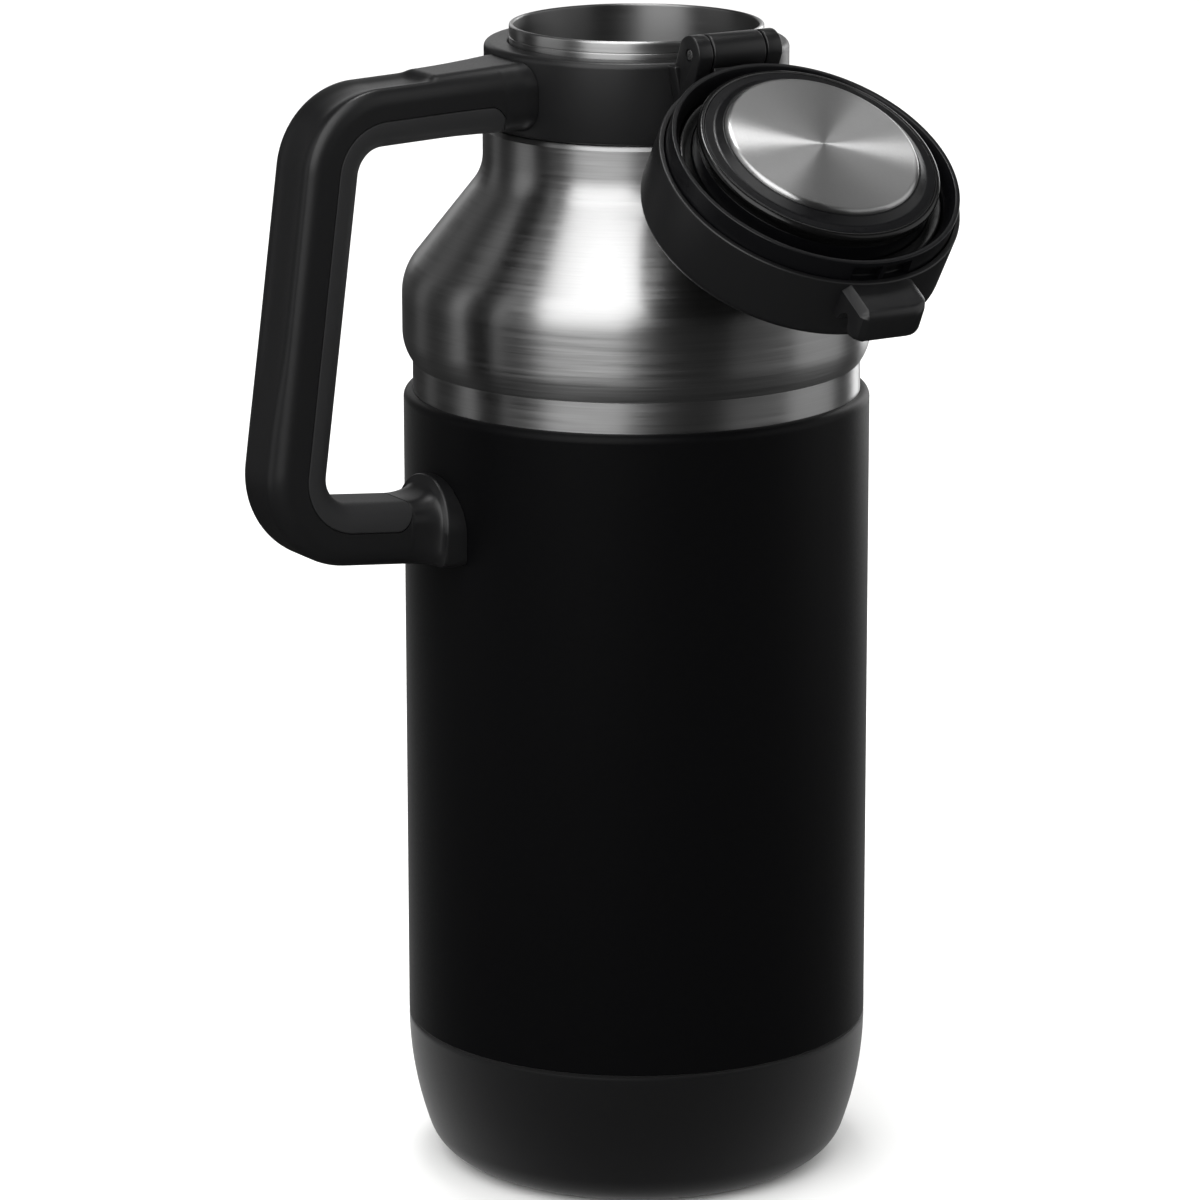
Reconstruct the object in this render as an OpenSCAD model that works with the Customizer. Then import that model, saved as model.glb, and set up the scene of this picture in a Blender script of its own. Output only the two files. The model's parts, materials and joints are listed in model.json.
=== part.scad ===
// Vacuum growler with a side carrying handle and a hinged lid.
// The origin is the middle of the underside. +Z is up, the handle stands out along -X
// and the lid hinges at -Y. The lid is drawn swung open; its own parts are described as
// they lie on the closed growler and are then turned about the hinge pin.

/* [Body] */
// Outer radius of the sleeve and the base cup
sleeve_r = 59; // [50:0.5:72]
// Thickness of the sleeve
sleeve_t = 2.3; // [1.5:0.1:3]
// Height of the seam between the base cup and the sleeve
seam_z = 37.5; // [30:0.5:60]
// Height of the sleeve's top edge
sleeve_top_z = 202.2; // [185:0.5:230]
// Height of the bare band between the sleeve and the shoulder step
band_h = 7.6; // [4:0.2:15]
// How far the steel shoulder stands out past the sleeve
shoulder_out = 0.2; // [0:0.1:1]
// Height of the rounding at the shoulder's lower edge
step_h = 7.5; // [4:0.5:10]
// Height from the step to the place where the shoulder starts to turn inward
shoulder_rise = 9.4; // [5:0.2:20]
// Radius of the turn at the shoulder
shoulder_turn_r = 15; // [6:0.5:20]
// Slope of the shoulder cone, from the vertical
cone_angle = 38.3; // [30:0.5:50]
// Clearance between the steel body and what is slipped over it
slip_fit = 0.1; // [0.05:0.05:0.3]

/* [Base] */
// How far the flat underside's edge lies inside the sleeve's outline
foot_in = 16.5; // [12:0.5:20]
// Radius of the corner between the underside and the side
foot_corner_r = 12.1; // [8:0.1:16]
// Thickness of the base cup
cup_t = 2.4; // [1.5:0.1:4]
// Depth of the tread groove in the underside
tread_depth = 0.8; // [0.4:0.1:1.2]

/* [Steel walls] */
// Thickness of the outer steel wall
wall_out = 0.8; // [0.6:0.1:1.2]
// Thickness of the inner steel wall
wall_in = 0.6; // [0.5:0.1:1]
// Width of the vacuum gap along the sides
vacuum_gap = 3; // [2:0.2:6]
// Width of the vacuum gap at the bottom
floor_gap = 6; // [4:0.5:12]

/* [Neck and mouth] */
// How far the bare neck stands out past the collar
neck_out = 0.4; // [0.2:0.1:1]
// Height of the bare neck under the collar
neck_h = 8; // [5:0.5:15]
// Inner radius of the mouth
mouth_r = 30.7; // [26:0.1:34]
// Thickness of the mouth's lip
lip_t = 1.2; // [0.8:0.1:2]
// Height of the lip above the collar
lip_h = 4.3; // [3:0.1:6]

/* [Collar] */
// Distance from the mouth's wall to the collar's outside
collar_out = 7.5; // [7:0.1:10]
// Height of the collar
collar_h = 20.3; // [16:0.1:26]
// Thickness of the collar's wall
collar_t = 3.4; // [2.5:0.1:5]
// Rounding of the collar's top edge
collar_round = 1.6; // [0.5:0.1:2]
// Half width of the hinge pad on the collar
hinge_pad_half = 13.5; // [12:0.5:16]
// How far the hinge pad stands out of the collar
hinge_pad_out = 1.5; // [0.5:0.1:2]
// Width of the catch rib opposite the hinge
catch_w = 16; // [10:1:20]
// Height of the catch rib above the collar
catch_h = 3.4; // [2:0.2:3.6]

/* [Hinge] */
// Distance of the hinge pin from the collar's outside
hinge_gap = 5.6; // [5.4:0.1:9]
// Height of the hinge pin above the collar's top
hinge_up = 2.9; // [2:0.1:5]
// Radius of the hinge knuckles
knuckle_r = 4.8; // [4:0.1:5.5]
// Radius of the hinge pin
pin_r = 1.5; // [1:0.1:2]
// Running clearance round the hinge pin
pin_fit = 0.06; // [0.02:0.01:0.1]
// Length of the lid's knuckle
knuckle_mid = 15.1; // [10:0.1:18]
// Length of each of the collar's knuckles
knuckle_end = 4.2; // [3:0.1:6]
// Gap between neighbouring knuckles
knuckle_gap = 0.3; // [0.2:0.05:0.6]
// Angle by which the lid is swung open
lid_open = 212.5; // [0:0.5:212.5]

/* [Lid] */
// How far the lid shell lies inside the collar's outline
lid_in = 0.3; // [0:0.1:1]
// Height of the lid shell
lid_h = 17.8; // [14:0.2:24]
// Thickness of the lid shell's wall
lid_wall = 1.5; // [1.2:0.1:2.5]
// Thickness of the lid shell's top
lid_top_t = 2.2; // [1.5:0.1:4]
// Rounding of the lid shell's top edge
lid_round = 3; // [1.5:0.1:4]
// Height of the liner ring that shows between the collar and the lid shell
reveal_h = 5.4; // [4:0.1:8]
// Clearance under the closed lid
close_gap = 0.3; // [0.2:0.05:0.5]
// Thickness of the liner ring
ring_t = 3.2; // [2:0.1:4]
// Thickness of the liner's other walls
liner_t = 2; // [1.5:0.1:3]
// How far the plug reaches below the lip's top
plug_depth = 7; // [5:0.2:12]
// Clearance between the plug gasket and the mouth
plug_fit = 0.3; // [0.25:0.05:0.6]
// Distance from the mouth's wall to the edge of the steel disc in the plug's face
disc_in = 6.5; // [5:0.1:12]
// Thickness of the steel disc
disc_t = 1.2; // [0.8:0.1:2]
// Height of the boss that carries the disc
disc_boss_h = 1.5; // [0.5:0.1:3]

/* [Lift tab] */
// Width of the lift tab
tab_w = 20.6; // [14:0.2:26]
// Distance of the tab's bead from the lid shell's side
tab_l = 7.5; // [6:0.1:12]
// Radius of the bead at the tab's end
bead_r = 3.2; // [2.5:0.1:4]
// Thickness of the tab's plate
tab_t = 4.6; // [3:0.1:6]

/* [Handle] */
// Thickness of the handle, from its inner to its outer side
handle_t = 15.8; // [14:0.2:18]
// Width of the handle
handle_w = 20; // [18:0.5:26]
// Rounding of the handle's long edges
handle_round = 5; // [3:0.5:6]
// Radius of the handle's two corners, along its middle
handle_bend_r = 15; // [12:0.5:20]
// Reach of the handle's upper corner from the sleeve
grip_top_out = 30.5; // [26:0.5:45]
// Reach of the handle's lower corner from the sleeve
grip_low_out = 44.1; // [34:0.1:60]
// Drop of the handle's upper arm from the collar to the upper corner
arm_drop = 1.8; // [0:0.2:4]
// Distance of the lower pad's middle below the sleeve's top edge
pad_drop = 29.5; // [24:0.5:50]
// Rise of the lower arm from the sleeve to the lower corner
arm_rise = 4.4; // [0:0.2:8]
// Radius of the pad at the lower arm's end
pad_r = 13.5; // [12:0.5:16]
// Thickness of the pad's rim
pad_t = 4.3; // [3:0.1:6]
// Length over which the pad flares out of the arm
flare_l = 8; // [5:0.5:12]
// Thickness of the soft inlay
inlay_t = 2.6; // [1.5:0.1:3.5]
// Distance of the inlay's seam from the middle of the handle
inlay_seam = 1; // [0:0.2:2]

/* [Handle fastening] */
// Width of the tongues that carry the handle
tongue_w = 10; // [8:0.5:12]
// Height of the tongues
tongue_h = 7; // [6:0.5:8]
// Length of the tongues beyond the collar and the sleeve
tongue_l = 14; // [12:0.5:16]
// Clearance round the tongues
tongue_fit = 0.2; // [0.1:0.05:0.4]
// Radius of the handle screws
screw_r = 2; // [1.5:0.1:2.5]
// Radius of the screw heads
screw_head_r = 3.6; // [3:0.1:4]
// Height of the screw heads
screw_head_h = 2.4; // [2:0.1:3]
// Distance of the screws from the collar and the sleeve
screw_out = 4.3; // [4:0.1:6]
// Thickness of the plate welded to the body
weld_plate_t = 1.4; // [1:0.1:1.8]
// Size of the plate welded to the body
weld_plate = 18; // [14:0.5:20]

/* [Hidden] */
$fn = 96;
turn = 360;
cut = 1;                       // how far a cutting shape runs past what it cuts
steps = 12;                    // segments in a rounded stretch of an outline

// Steel body
shoulder_r = sleeve_r + shoulder_out;
foot_r = sleeve_r - foot_in;
collar_r = mouth_r + collar_out;
neck_r = collar_r + neck_out;
recess_r = sleeve_r - sleeve_t - slip_fit;
band_top_z = sleeve_top_z + band_h;
step_r = (step_h * step_h + pow(shoulder_r - recess_r, 2)) / (2 * (shoulder_r - recess_r));
step_top_z = band_top_z + step_h;
shoulder_z = step_top_z + shoulder_rise;
side_arc_r = side_radius(foot_r, foot_corner_r, sleeve_r, seam_z);
cone_r = shoulder_r - shoulder_turn_r * (1 - cos(cone_angle));
cone_z = shoulder_z + shoulder_turn_r * sin(cone_angle);
neck_turn_r = 12;
neck_cone_r = neck_r + neck_turn_r * (1 - cos(cone_angle));
neck_cone_z = cone_z + (cone_r - neck_cone_r) / tan(cone_angle);
neck_z = neck_cone_z + neck_turn_r * sin(cone_angle);
collar_z = neck_z + neck_h;
collar_top_z = collar_z + collar_h;
rim_z = collar_top_z + lip_h;
lip_r = mouth_r + lip_t;
throat_r = collar_r - collar_t - slip_fit;     // steel neck inside the collar
collar_lid_t = 2.6;                            // collar's inward flange over the neck
throat_top_z = collar_top_z - collar_lid_t - slip_fit;
vessel_r = recess_r - wall_out - vacuum_gap;   // outside of the inner vessel
vessel_corner_r = 20;
vessel_z = cup_t + floor_gap;
shell_floor_z = cup_t + slip_fit;
plate_r = foot_r - 4;
plate_t = 1;
getter_r = 9;
getter_t = 2.5;

// Hinge and lid
hinge_out = collar_r + hinge_gap;
lid_r = collar_r - lid_in;
tab_out = lid_r + tab_l;
disc_r = mouth_r - disc_in;
hinge_z = collar_top_z + hinge_up;
hinge_l = knuckle_mid + 2 * (knuckle_end + knuckle_gap);
rim_under_z = collar_top_z + reveal_h;
lid_top_z = rim_under_z + lid_h;
lid_in_r = lid_r - lid_wall;
lid_roof_z = lid_top_z - lid_top_t;
ring_r = lid_in_r - 0.2;
ring_in_r = ring_r - ring_t;
ring_low_z = collar_top_z + close_gap;
gasket_t = 2;
channel_z = rim_z + close_gap + gasket_t;
plug_r = mouth_r - 1;
plug_z = rim_z - plug_depth;
gasket_r = mouth_r - plug_fit;
gasket_h = 3.6;
gasket_bite = 1.6;
disc_boss_r = disc_r + 2.3;
foam_r = plug_r - liner_t - 0.2;
pocket_depth = 1.4;
pocket_h = 3.7;

// Handle
collar_arm_z = collar_top_z - 10.1;            // upper arm's height at the collar
reach_top = sleeve_r + grip_top_out;
reach_low = sleeve_r + grip_low_out;
pad_z = sleeve_top_z - pad_drop;
arm_start = collar_r - 8;                      // the arms start inside what they sit against
arm_end = sleeve_r - 7;
path_a = [arm_start, collar_arm_z];
path_b = [reach_top, collar_arm_z - arm_drop];
path_c = [reach_low, pad_z + arm_rise];
path_d = [arm_end, path_c[1] - arm_rise * (reach_low - arm_end) / (reach_low - sleeve_r)];
pad_floor_z = pad_z - handle_t / 2;
inlay_from = collar_r + screw_out + screw_head_r + 1;
inlay_to = sleeve_r + pad_t + flare_l + 0.2;
inlay_fit = 0.05;
bend_steps = 8;                                // segments round each corner of the handle
corner_steps = 4;                              // segments in each corner of the cross-section
saddle_fit = 0.15;
pin_l = hinge_l - 0.4;

// Radius of the side arc that runs from the seam, where it stands upright, to the corner arc
function side_radius(flat, corner, wide, high) =
    let (run = wide - flat, rise = high - corner)
    (rise * rise + run * run - corner * corner) / (2 * (run - corner));

// Points of an arc, from angle a0 to a1
function arc(centre, r, a0, a1, n = steps) =
    [for (i = [0:n]) centre + r * [cos(a0 + (a1 - a0) * i / n), sin(a0 + (a1 - a0) * i / n)]];

// The side of the base, from the underside up to the seam, moved inward by inset
function base_side(inset) =
    let (side_c = [sleeve_r - side_arc_r, seam_z],
         corner_c = [foot_r, foot_corner_r],
         meet = atan2(foot_corner_r - seam_z, foot_r - side_c[0]))
    concat(arc(corner_c, foot_corner_r - inset, -90, meet),
           arc(side_c, side_arc_r - inset, meet, 0));

// The shoulder and neck, from the shoulder's upright side up to the collar, moved inward
function shoulder_side(inset) =
    concat(arc([shoulder_r - shoulder_turn_r, shoulder_z], shoulder_turn_r - inset, 0, cone_angle),
           arc([neck_r + neck_turn_r, neck_z], neck_turn_r + inset, 180 + cone_angle, 180));

// The neck inside the collar, moved inward
function throat_side(inset) =
    [[neck_r - inset, collar_z - 1.4], [neck_r - 1 - inset, collar_z - 0.4],
     [throat_r - inset, collar_z - 0.4], [throat_r - inset, throat_top_z - inset]];

function reversed(list) = [for (i = [len(list) - 1:-1:0]) list[i]];

module ring(r_out, r_in, z0, z1) {
    translate([0, 0, z0])
        difference() {
            cylinder(r = r_out, h = z1 - z0);
            translate([0, 0, -cut]) cylinder(r = r_in, h = z1 - z0 + 2 * cut);
        }
}

// Steel walls and base -------------------------------------------------------------------

module outer_shell() {
    outside = concat(base_side(cup_t + slip_fit),
                     [[recess_r, seam_z], [recess_r, band_top_z]],
                     arc([shoulder_r - step_r, step_top_z], step_r,
                         -asin(step_h / step_r), 0),
                     shoulder_side(0), throat_side(0), [[lip_r, throat_top_z]]);
    inside = concat(base_side(cup_t + slip_fit + wall_out),
                    [[recess_r - wall_out, seam_z], [recess_r - wall_out, step_top_z]],
                    shoulder_side(wall_out), throat_side(wall_out),
                    [[lip_r, throat_top_z - wall_out]]);
    color("silver")
        rotate_extrude()
            polygon(concat([[plate_r, shell_floor_z]], outside, reversed(inside),
                           [[plate_r, shell_floor_z + wall_out]]));
}

module inner_vessel() {
    gap = shoulder_r - vessel_r;
    outside = concat([[0, vessel_z]],
                     arc([vessel_r - vessel_corner_r, vessel_z + vessel_corner_r],
                         vessel_corner_r, -90, 0),
                     arc([vessel_r - 12, shoulder_z - gap], 12, 0, cone_angle),
                     [[lip_r, vessel_cone_z(lip_r, gap, 12)]]);
    color("silver")
        difference() {
            rotate_extrude()
                polygon(concat(outside, [[lip_r, rim_z - 0.4], [lip_r - 0.4, rim_z],
                                         [0, rim_z]]));
            rotate_extrude() polygon(concat([[0, vessel_z + wall_in]],
                arc([vessel_r - vessel_corner_r, vessel_z + vessel_corner_r],
                    vessel_corner_r - wall_in, -90, 0),
                arc([vessel_r - 12, shoulder_z - gap], 12 - wall_in, 0, cone_angle),
                [[mouth_r, vessel_cone_z(lip_r, gap, 12)], [0, vessel_cone_z(lip_r, gap, 12)]]));
            translate([0, 0, shoulder_z]) cylinder(r = mouth_r, h = rim_z);
        }
}

// Height at which the vessel's shoulder cone reaches radius r
function vessel_cone_z(r, gap, r_turn) =
    shoulder_z - gap + r_turn * sin(cone_angle)
    + (vessel_r - r_turn * (1 - cos(cone_angle)) - r) / tan(cone_angle);

module base_plate() {
    color("gray")
        difference() {
            translate([0, 0, shell_floor_z]) cylinder(r = plate_r, h = plate_t);
            translate([0, 0, shell_floor_z - cut]) cylinder(r = 3, h = cut + plate_t / 2);
        }
}

module vacuum_getter() {
    color("dimgray")
        translate([24, 0, shell_floor_z + plate_t]) cylinder(r = getter_r, h = getter_t);
}

module body_sleeve() {
    edge_r = sleeve_t;
    window_h = weld_plate + 2 * tongue_fit;
    color("#17181a")
        difference() {
            rotate_extrude()
                polygon(concat([[recess_r + slip_fit, seam_z], [sleeve_r - 0.4, seam_z],
                                [sleeve_r, seam_z + 0.4]],
                               arc([sleeve_r - edge_r, sleeve_top_z - edge_r], edge_r, 0, 82),
                               [[recess_r + slip_fit, sleeve_top_z]]));
            translate([-sleeve_r - cut, -window_h / 2, pad_z - window_h / 2])
                cube([sleeve_r / 2, window_h, window_h]);
        }
}

module base_cup() {
    tread_r = foot_r - 8;
    color("#1a1b1d")
        difference() {
            rotate_extrude()
                polygon(concat([[0, 0]], base_side(0),
                               [[sleeve_r - 0.4, seam_z - 0.1], [recess_r + slip_fit, seam_z - 0.1]],
                               reversed(base_side(cup_t)), [[0, cup_t]]));
            ring(tread_r + 4, tread_r, -cut, tread_depth);
        }
}

// Collar ---------------------------------------------------------------------------------

module collar() {
    inner = throat_r + slip_fit;
    flange = lip_r + 0.3;
    color("#1c1d1f")
        difference() {
            union() {
                rotate_extrude()
                    polygon(concat([[inner, collar_z], [collar_r - 0.4, collar_z],
                                    [collar_r, collar_z + 0.4]],
                                   arc([collar_r - collar_round, collar_top_z - collar_round],
                                       collar_round, 0, 90, 6),
                                   [[flange, collar_top_z], [flange, collar_top_z - collar_lid_t],
                                    [inner, collar_top_z - collar_lid_t]]));
                hinge_mount();
                catch_rib();
                tongue(collar_r - collar_t / 2, collar_r + tongue_l, collar_arm_z);
            }
            // room for the lid's knuckle between the collar's two knuckles
            hinge_rod(knuckle_r + 0.4, knuckle_mid + 2 * knuckle_gap);
            hinge_rod(pin_r + pin_fit, hinge_l + 2 * cut);
            translate([-collar_r - screw_out, 0, collar_arm_z - tongue_h])
                cylinder(r = screw_r + 0.05, h = 2 * tongue_h);
        }
}

// A round bar of radius r and length l along the hinge's axis
module hinge_rod(r, l) {
    translate([-l / 2, -hinge_out, hinge_z]) rotate([0, 90, 0]) cylinder(r = r, h = l);
}

// The raised pad on the collar and the two knuckles that stand on it
module hinge_mount() {
    pad_h = 11.5;
    ear_x = knuckle_mid / 2 + knuckle_gap;
    pad_front = collar_r + hinge_pad_out;
    difference() {
        rotate([90, 0, 0])
            linear_extrude(height = pad_front)
                polygon([[-hinge_pad_half + 2, collar_top_z - pad_h],
                         [hinge_pad_half - 2, collar_top_z - pad_h],
                         [hinge_pad_half, collar_top_z], [-hinge_pad_half, collar_top_z]]);
        translate([0, 0, collar_z]) cylinder(r = collar_r - collar_t / 2, h = 2 * collar_h);
    }
    for (x = [-ear_x - knuckle_end, ear_x])
        translate([x, 0, 0]) {
            translate([0, -hinge_out, hinge_z]) rotate([0, 90, 0])
                cylinder(r = knuckle_r, h = knuckle_end);
            // the web that carries the knuckle down to the pad
            rotate([90, 0, 90])
                linear_extrude(height = knuckle_end)
                    polygon([[-hinge_out - knuckle_r, hinge_z - 0.6],
                             [-hinge_out - knuckle_r + 2.6, hinge_z - 7],
                             [-pad_front - 0.6, hinge_z - 13],
                             [-collar_r + 1.5, hinge_z - 13],
                             [-collar_r + 1.5, collar_top_z - collar_round],
                             [-hinge_out + knuckle_r, hinge_z]]);
        }
}

// The low rib opposite the hinge that the lid's pocket snaps over
module catch_rib() {
    intersection() {
        ring(collar_r - 0.2, ring_r + 0.3, collar_top_z - collar_round - 0.2,
             collar_top_z + catch_h);
        translate([-catch_w / 2, 0, collar_z]) cube([catch_w, collar_r, 2 * collar_h]);
    }
}

// A flat tongue along -X, from radius r0 to r1
module tongue(r0, r1, z, fit = 0) {
    translate([-r1 - fit, -tongue_w / 2 - fit, z - tongue_h / 2 - fit])
        cube([r1 - r0 + fit, tongue_w + 2 * fit, tongue_h + 2 * fit]);
}

module hinge_pin() {
    color("lightgray") hinge_rod(pin_r, pin_l);
}

// Handle ---------------------------------------------------------------------------------

// Cross-section of the handle: x runs to its outer side and y across its width
function handle_section() =
    let (x = handle_t / 2 - handle_round, y = handle_w / 2 - handle_round)
    concat(arc([x, y], handle_round, 0, 90, corner_steps),
           arc([-x, y], handle_round, 90, 180, corner_steps),
           arc([-x, -y], handle_round, 180, 270, corner_steps),
           arc([x, -y], handle_round, 270, 360, corner_steps));

// Cross-section of the inlay, which wraps round the handle's inner side up to the seam
function inlay_section() =
    let (x = handle_t / 2 - handle_round, y = handle_w / 2 - handle_round)
    concat([[-inlay_seam, handle_w / 2]],
           arc([-x, y], handle_round, 90, 180, corner_steps),
           arc([-x, -y], handle_round, 180, 270, corner_steps),
           [[-inlay_seam, -handle_w / 2]], core_outline(0));

// Cross-section of the recess that the inlay lies in, running past the handle's outside
function recess_section() =
    let (x = handle_t / 2 + cut, y = handle_w / 2 + cut, seam = inlay_fit - inlay_seam)
    concat([[seam, y], [-x, y], [-x, -y], [seam, -y]], core_outline(inlay_fit));

// The outline of the core that the inlay wraps round
function core_outline(fit) =
    let (x = handle_t / 2 - inlay_t - fit, y = handle_w / 2 - inlay_t - fit,
         seam = fit - inlay_seam)
    [[seam, -y], [-x, -y], [-x, y], [seam, y]];

function heading(p, q) = atan2(q[1] - p[1], q[0] - p[0]);

// Stations of the handle's middle line round one corner: each is a point and a heading
function corner_stations(corner, a_in, a_out) =
    let (start = corner - handle_bend_r * tan((a_in - a_out) / 2) * [cos(a_in), sin(a_in)],
         centre = start + handle_bend_r * [sin(a_in), -cos(a_in)])
    [for (i = [0:bend_steps])
        let (a = a_in + (a_out - a_in) * i / bend_steps)
        [centre + handle_bend_r * [-sin(a), cos(a)], a]];

// All stations from one end of the handle to the other
function handle_stations(from, to) =
    let (a1 = heading(from, path_b), a2 = heading(path_b, path_c),
         a3 = heading(path_c, to) - (to[1] > path_c[1] ? turn : 0))
    concat([[from, a1]], corner_stations(path_b, a1, a2), corner_stations(path_c, a2, a3),
           [[to, a3]]);

// Sweeps a cross-section along the handle's middle line
module along_handle(from, to, section) {
    stations = handle_stations(from, to);
    n = len(section);
    last = (len(stations) - 1) * n;
    points = [for (s = stations, p = section)
                 [p[0] * sin(s[1]) - s[0][0], p[1], s[0][1] + p[0] * cos(s[1])]];
    sides = [for (k = [0:n:last - 1], i = [0:n - 1])
                 let (j = (i + 1) % n)
                 each [[k + i, k + n + i, k + j], [k + j, k + n + i, k + n + j]]];
    polyhedron(points, concat([[for (i = [0:n - 1]) i]], sides,
                              [[for (i = [n - 1:-1:0]) last + i]]), convexity = 6);
}

// A point on the straight line from p to q at distance x from the growler's axis
function at_reach(p, q, x) = p + (q - p) * (x - p[0]) / (q[0] - p[0]);

// The pad that flares out of the lower arm's end, with its underside flush with the arm's
module handle_pad() {
    rim_x = sleeve_r + pad_t;
    arm_r = handle_t / 2 - 1;
    intersection() {
        translate([0, 0, pad_z]) rotate([0, -90, 0])
            rotate_extrude()
                polygon(concat([[0, sleeve_r / 2], [pad_r, sleeve_r / 2], [pad_r, rim_x]],
                               [for (i = [1:steps])
                                   [pad_r - (pad_r - arm_r) * sin(90 * i / steps),
                                    rim_x + flare_l * (1 - cos(90 * i / steps))]],
                               [[0, rim_x + flare_l]]));
        translate([-2 * reach_low, -pad_r - cut, pad_floor_z])
            cube([2 * reach_low, 2 * (pad_r + cut), 3 * pad_r]);
    }
}

module handle_frame() {
    color("#1c1d1f")
        difference() {
            union() {
                along_handle(path_a, path_d, handle_section());
                handle_pad();
            }
            along_handle(at_reach(path_a, path_b, inlay_from - inlay_fit),
                         at_reach(path_d, path_c, inlay_to - inlay_fit), recess_section());
            // the concave ends that sit against the collar and the sleeve
            translate([0, 0, collar_z - cut]) cylinder(r = collar_r + saddle_fit, h = 2 * collar_h);
            cylinder(r = sleeve_r + saddle_fit, h = sleeve_top_z);
            tongue(collar_r - cut, collar_r + tongue_l, collar_arm_z, tongue_fit);
            tongue(sleeve_r - cut, sleeve_r + tongue_l, pad_z, tongue_fit);
            for (place = screw_places()) screw(place, screw_r + 0.15, screw_head_r + 0.2, cut);
        }
}

module handle_inlay() {
    color("#232427")
        along_handle(at_reach(path_a, path_b, inlay_from),
                     at_reach(path_d, path_c, inlay_to), inlay_section());
}

// The two screws' places: distance from the axis and height of the tongue's middle
function screw_places() =
    [[collar_r + screw_out, collar_arm_z], [sleeve_r + screw_out, pad_z]];

// A screw that goes up into a tongue, with its head flush in the arm's underside
module screw(place, shank, head, extra) {
    head_z = place[1] - handle_t / 2 + 0.6;
    translate([-place[0], 0, head_z - extra]) {
        cylinder(r = head, h = screw_head_h + extra);
        cylinder(r = shank, h = place[1] + tongue_h / 2 - head_z + extra);
    }
}

module handle_screws() {
    color("silver")
        for (place = screw_places())
            difference() {
                screw(place, screw_r, screw_head_r, 0);
                translate([-place[0], 0, place[1] - handle_t / 2 - cut])
                    cylinder(r = 1.5, h = cut + 2, $fn = 6);
            }
}

module handle_bracket() {
    color("silver")
        difference() {
            union() {
                intersection() {
                    ring(recess_r + weld_plate_t, recess_r, pad_z - weld_plate / 2,
                         pad_z + weld_plate / 2);
                    translate([-sleeve_r, -weld_plate / 2, 0])
                        cube([sleeve_r, weld_plate, sleeve_top_z]);
                }
                tongue(recess_r + weld_plate_t / 2, sleeve_r + tongue_l, pad_z);
            }
            translate([-sleeve_r - screw_out, 0, pad_z - tongue_h])
                cylinder(r = screw_r + 0.05, h = 2 * tongue_h);
        }
}

// Lid ------------------------------------------------------------------------------------

// Turns the lid's parts about the hinge pin, from closed to open
module swung() {
    translate([0, -hinge_out, hinge_z]) rotate([lid_open, 0, 0])
        translate([0, hinge_out, -hinge_z]) children();
}

module lid_shell() {
    color("#1c1d1f") swung()
        difference() {
            union() {
                rotate_extrude()
                    polygon(concat([[lid_in_r, rim_under_z], [lid_r - 0.3, rim_under_z],
                                    [lid_r, rim_under_z + 0.3]],
                                   arc([lid_r - lid_round, lid_top_z - lid_round], lid_round,
                                       0, 90, 8),
                                   [[0, lid_top_z], [0, lid_roof_z], [lid_in_r, lid_roof_z]]));
                hinge_rod(knuckle_r, knuckle_mid);
                hinge_arm();
                lift_tab();
            }
            hinge_rod(pin_r + pin_fit, hinge_l);
        }
}

// The web between the lid's knuckle and the lid shell
module hinge_arm() {
    translate([-knuckle_mid / 2, 0, 0]) rotate([90, 0, 90])
        linear_extrude(height = knuckle_mid)
            polygon([[-lid_r + 0.8, rim_under_z], [-lid_r + 0.8, rim_under_z + 7.5],
                     [-lid_r - 0.4, rim_under_z + 6.9],
                     [-hinge_out - 1.7, hinge_z + 4.4], [-hinge_out, hinge_z],
                     [-hinge_out + knuckle_r - 0.2, hinge_z + 0.5]]);
}

// The lift tab opposite the hinge: a plate with a bead along its free end
module lift_tab() {
    bevel = 2;
    root = lid_in_r + 0.4;
    translate([-tab_w / 2, 0, 0]) rotate([90, 0, 90])
        linear_extrude(height = tab_w)
            polygon([[root, rim_under_z + 0.2], [tab_out, rim_under_z + 0.5],
                     [tab_out, rim_under_z + tab_t], [root, rim_under_z + tab_t + bevel]]);
    translate([-tab_w / 2, tab_out, rim_under_z + 0.5 + bead_r]) rotate([0, 90, 0])
        cylinder(r = bead_r, h = tab_w);
    translate([-tab_w / 2, tab_out - bead_r / 2, rim_under_z + tab_t]) rotate([0, 90, 0])
        cylinder(r = bead_r, h = tab_w);
}

module lid_liner() {
    wall_in_r = plug_r - liner_t;
    groove_top = plug_z + gasket_h + 0.1;
    color("#141517") swung()
        difference() {
            union() {
                // ring that shows under the shell, and is welded to the shell's roof
                rotate_extrude()
                    polygon([[ring_in_r, ring_low_z], [ring_r - 0.3, ring_low_z],
                             [ring_r, ring_low_z + 0.3], [ring_r, lid_roof_z],
                             [ring_r - 2, lid_roof_z], [ring_r - 2, channel_z + liner_t],
                             [wall_in_r, channel_z + liner_t], [wall_in_r, plug_z + liner_t],
                             [0, plug_z + liner_t], [0, plug_z - disc_boss_h],
                             [disc_boss_r - 0.5, plug_z - disc_boss_h],
                             [disc_boss_r, plug_z - disc_boss_h + 0.5],
                             [disc_boss_r, plug_z],
                             [gasket_r - gasket_bite, plug_z], [gasket_r - gasket_bite, groove_top],
                             [plug_r, groove_top], [plug_r, channel_z], [ring_in_r, channel_z]]);
            }
            // pocket in the ring that snaps over the collar's catch rib
            intersection() {
                ring(ring_r + cut, ring_r - pocket_depth, rim_under_z - pocket_h, rim_under_z);
                translate([-catch_w / 2 - 0.5, 0, collar_z]) cube([catch_w + 1, lid_r, lid_top_z]);
            }
        }
}

module lid_insulation() {
    color("beige") swung()
        translate([0, 0, plug_z + liner_t])
            cylinder(r = foam_r, h = lid_roof_z - plug_z - liner_t - 0.2);
}

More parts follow.
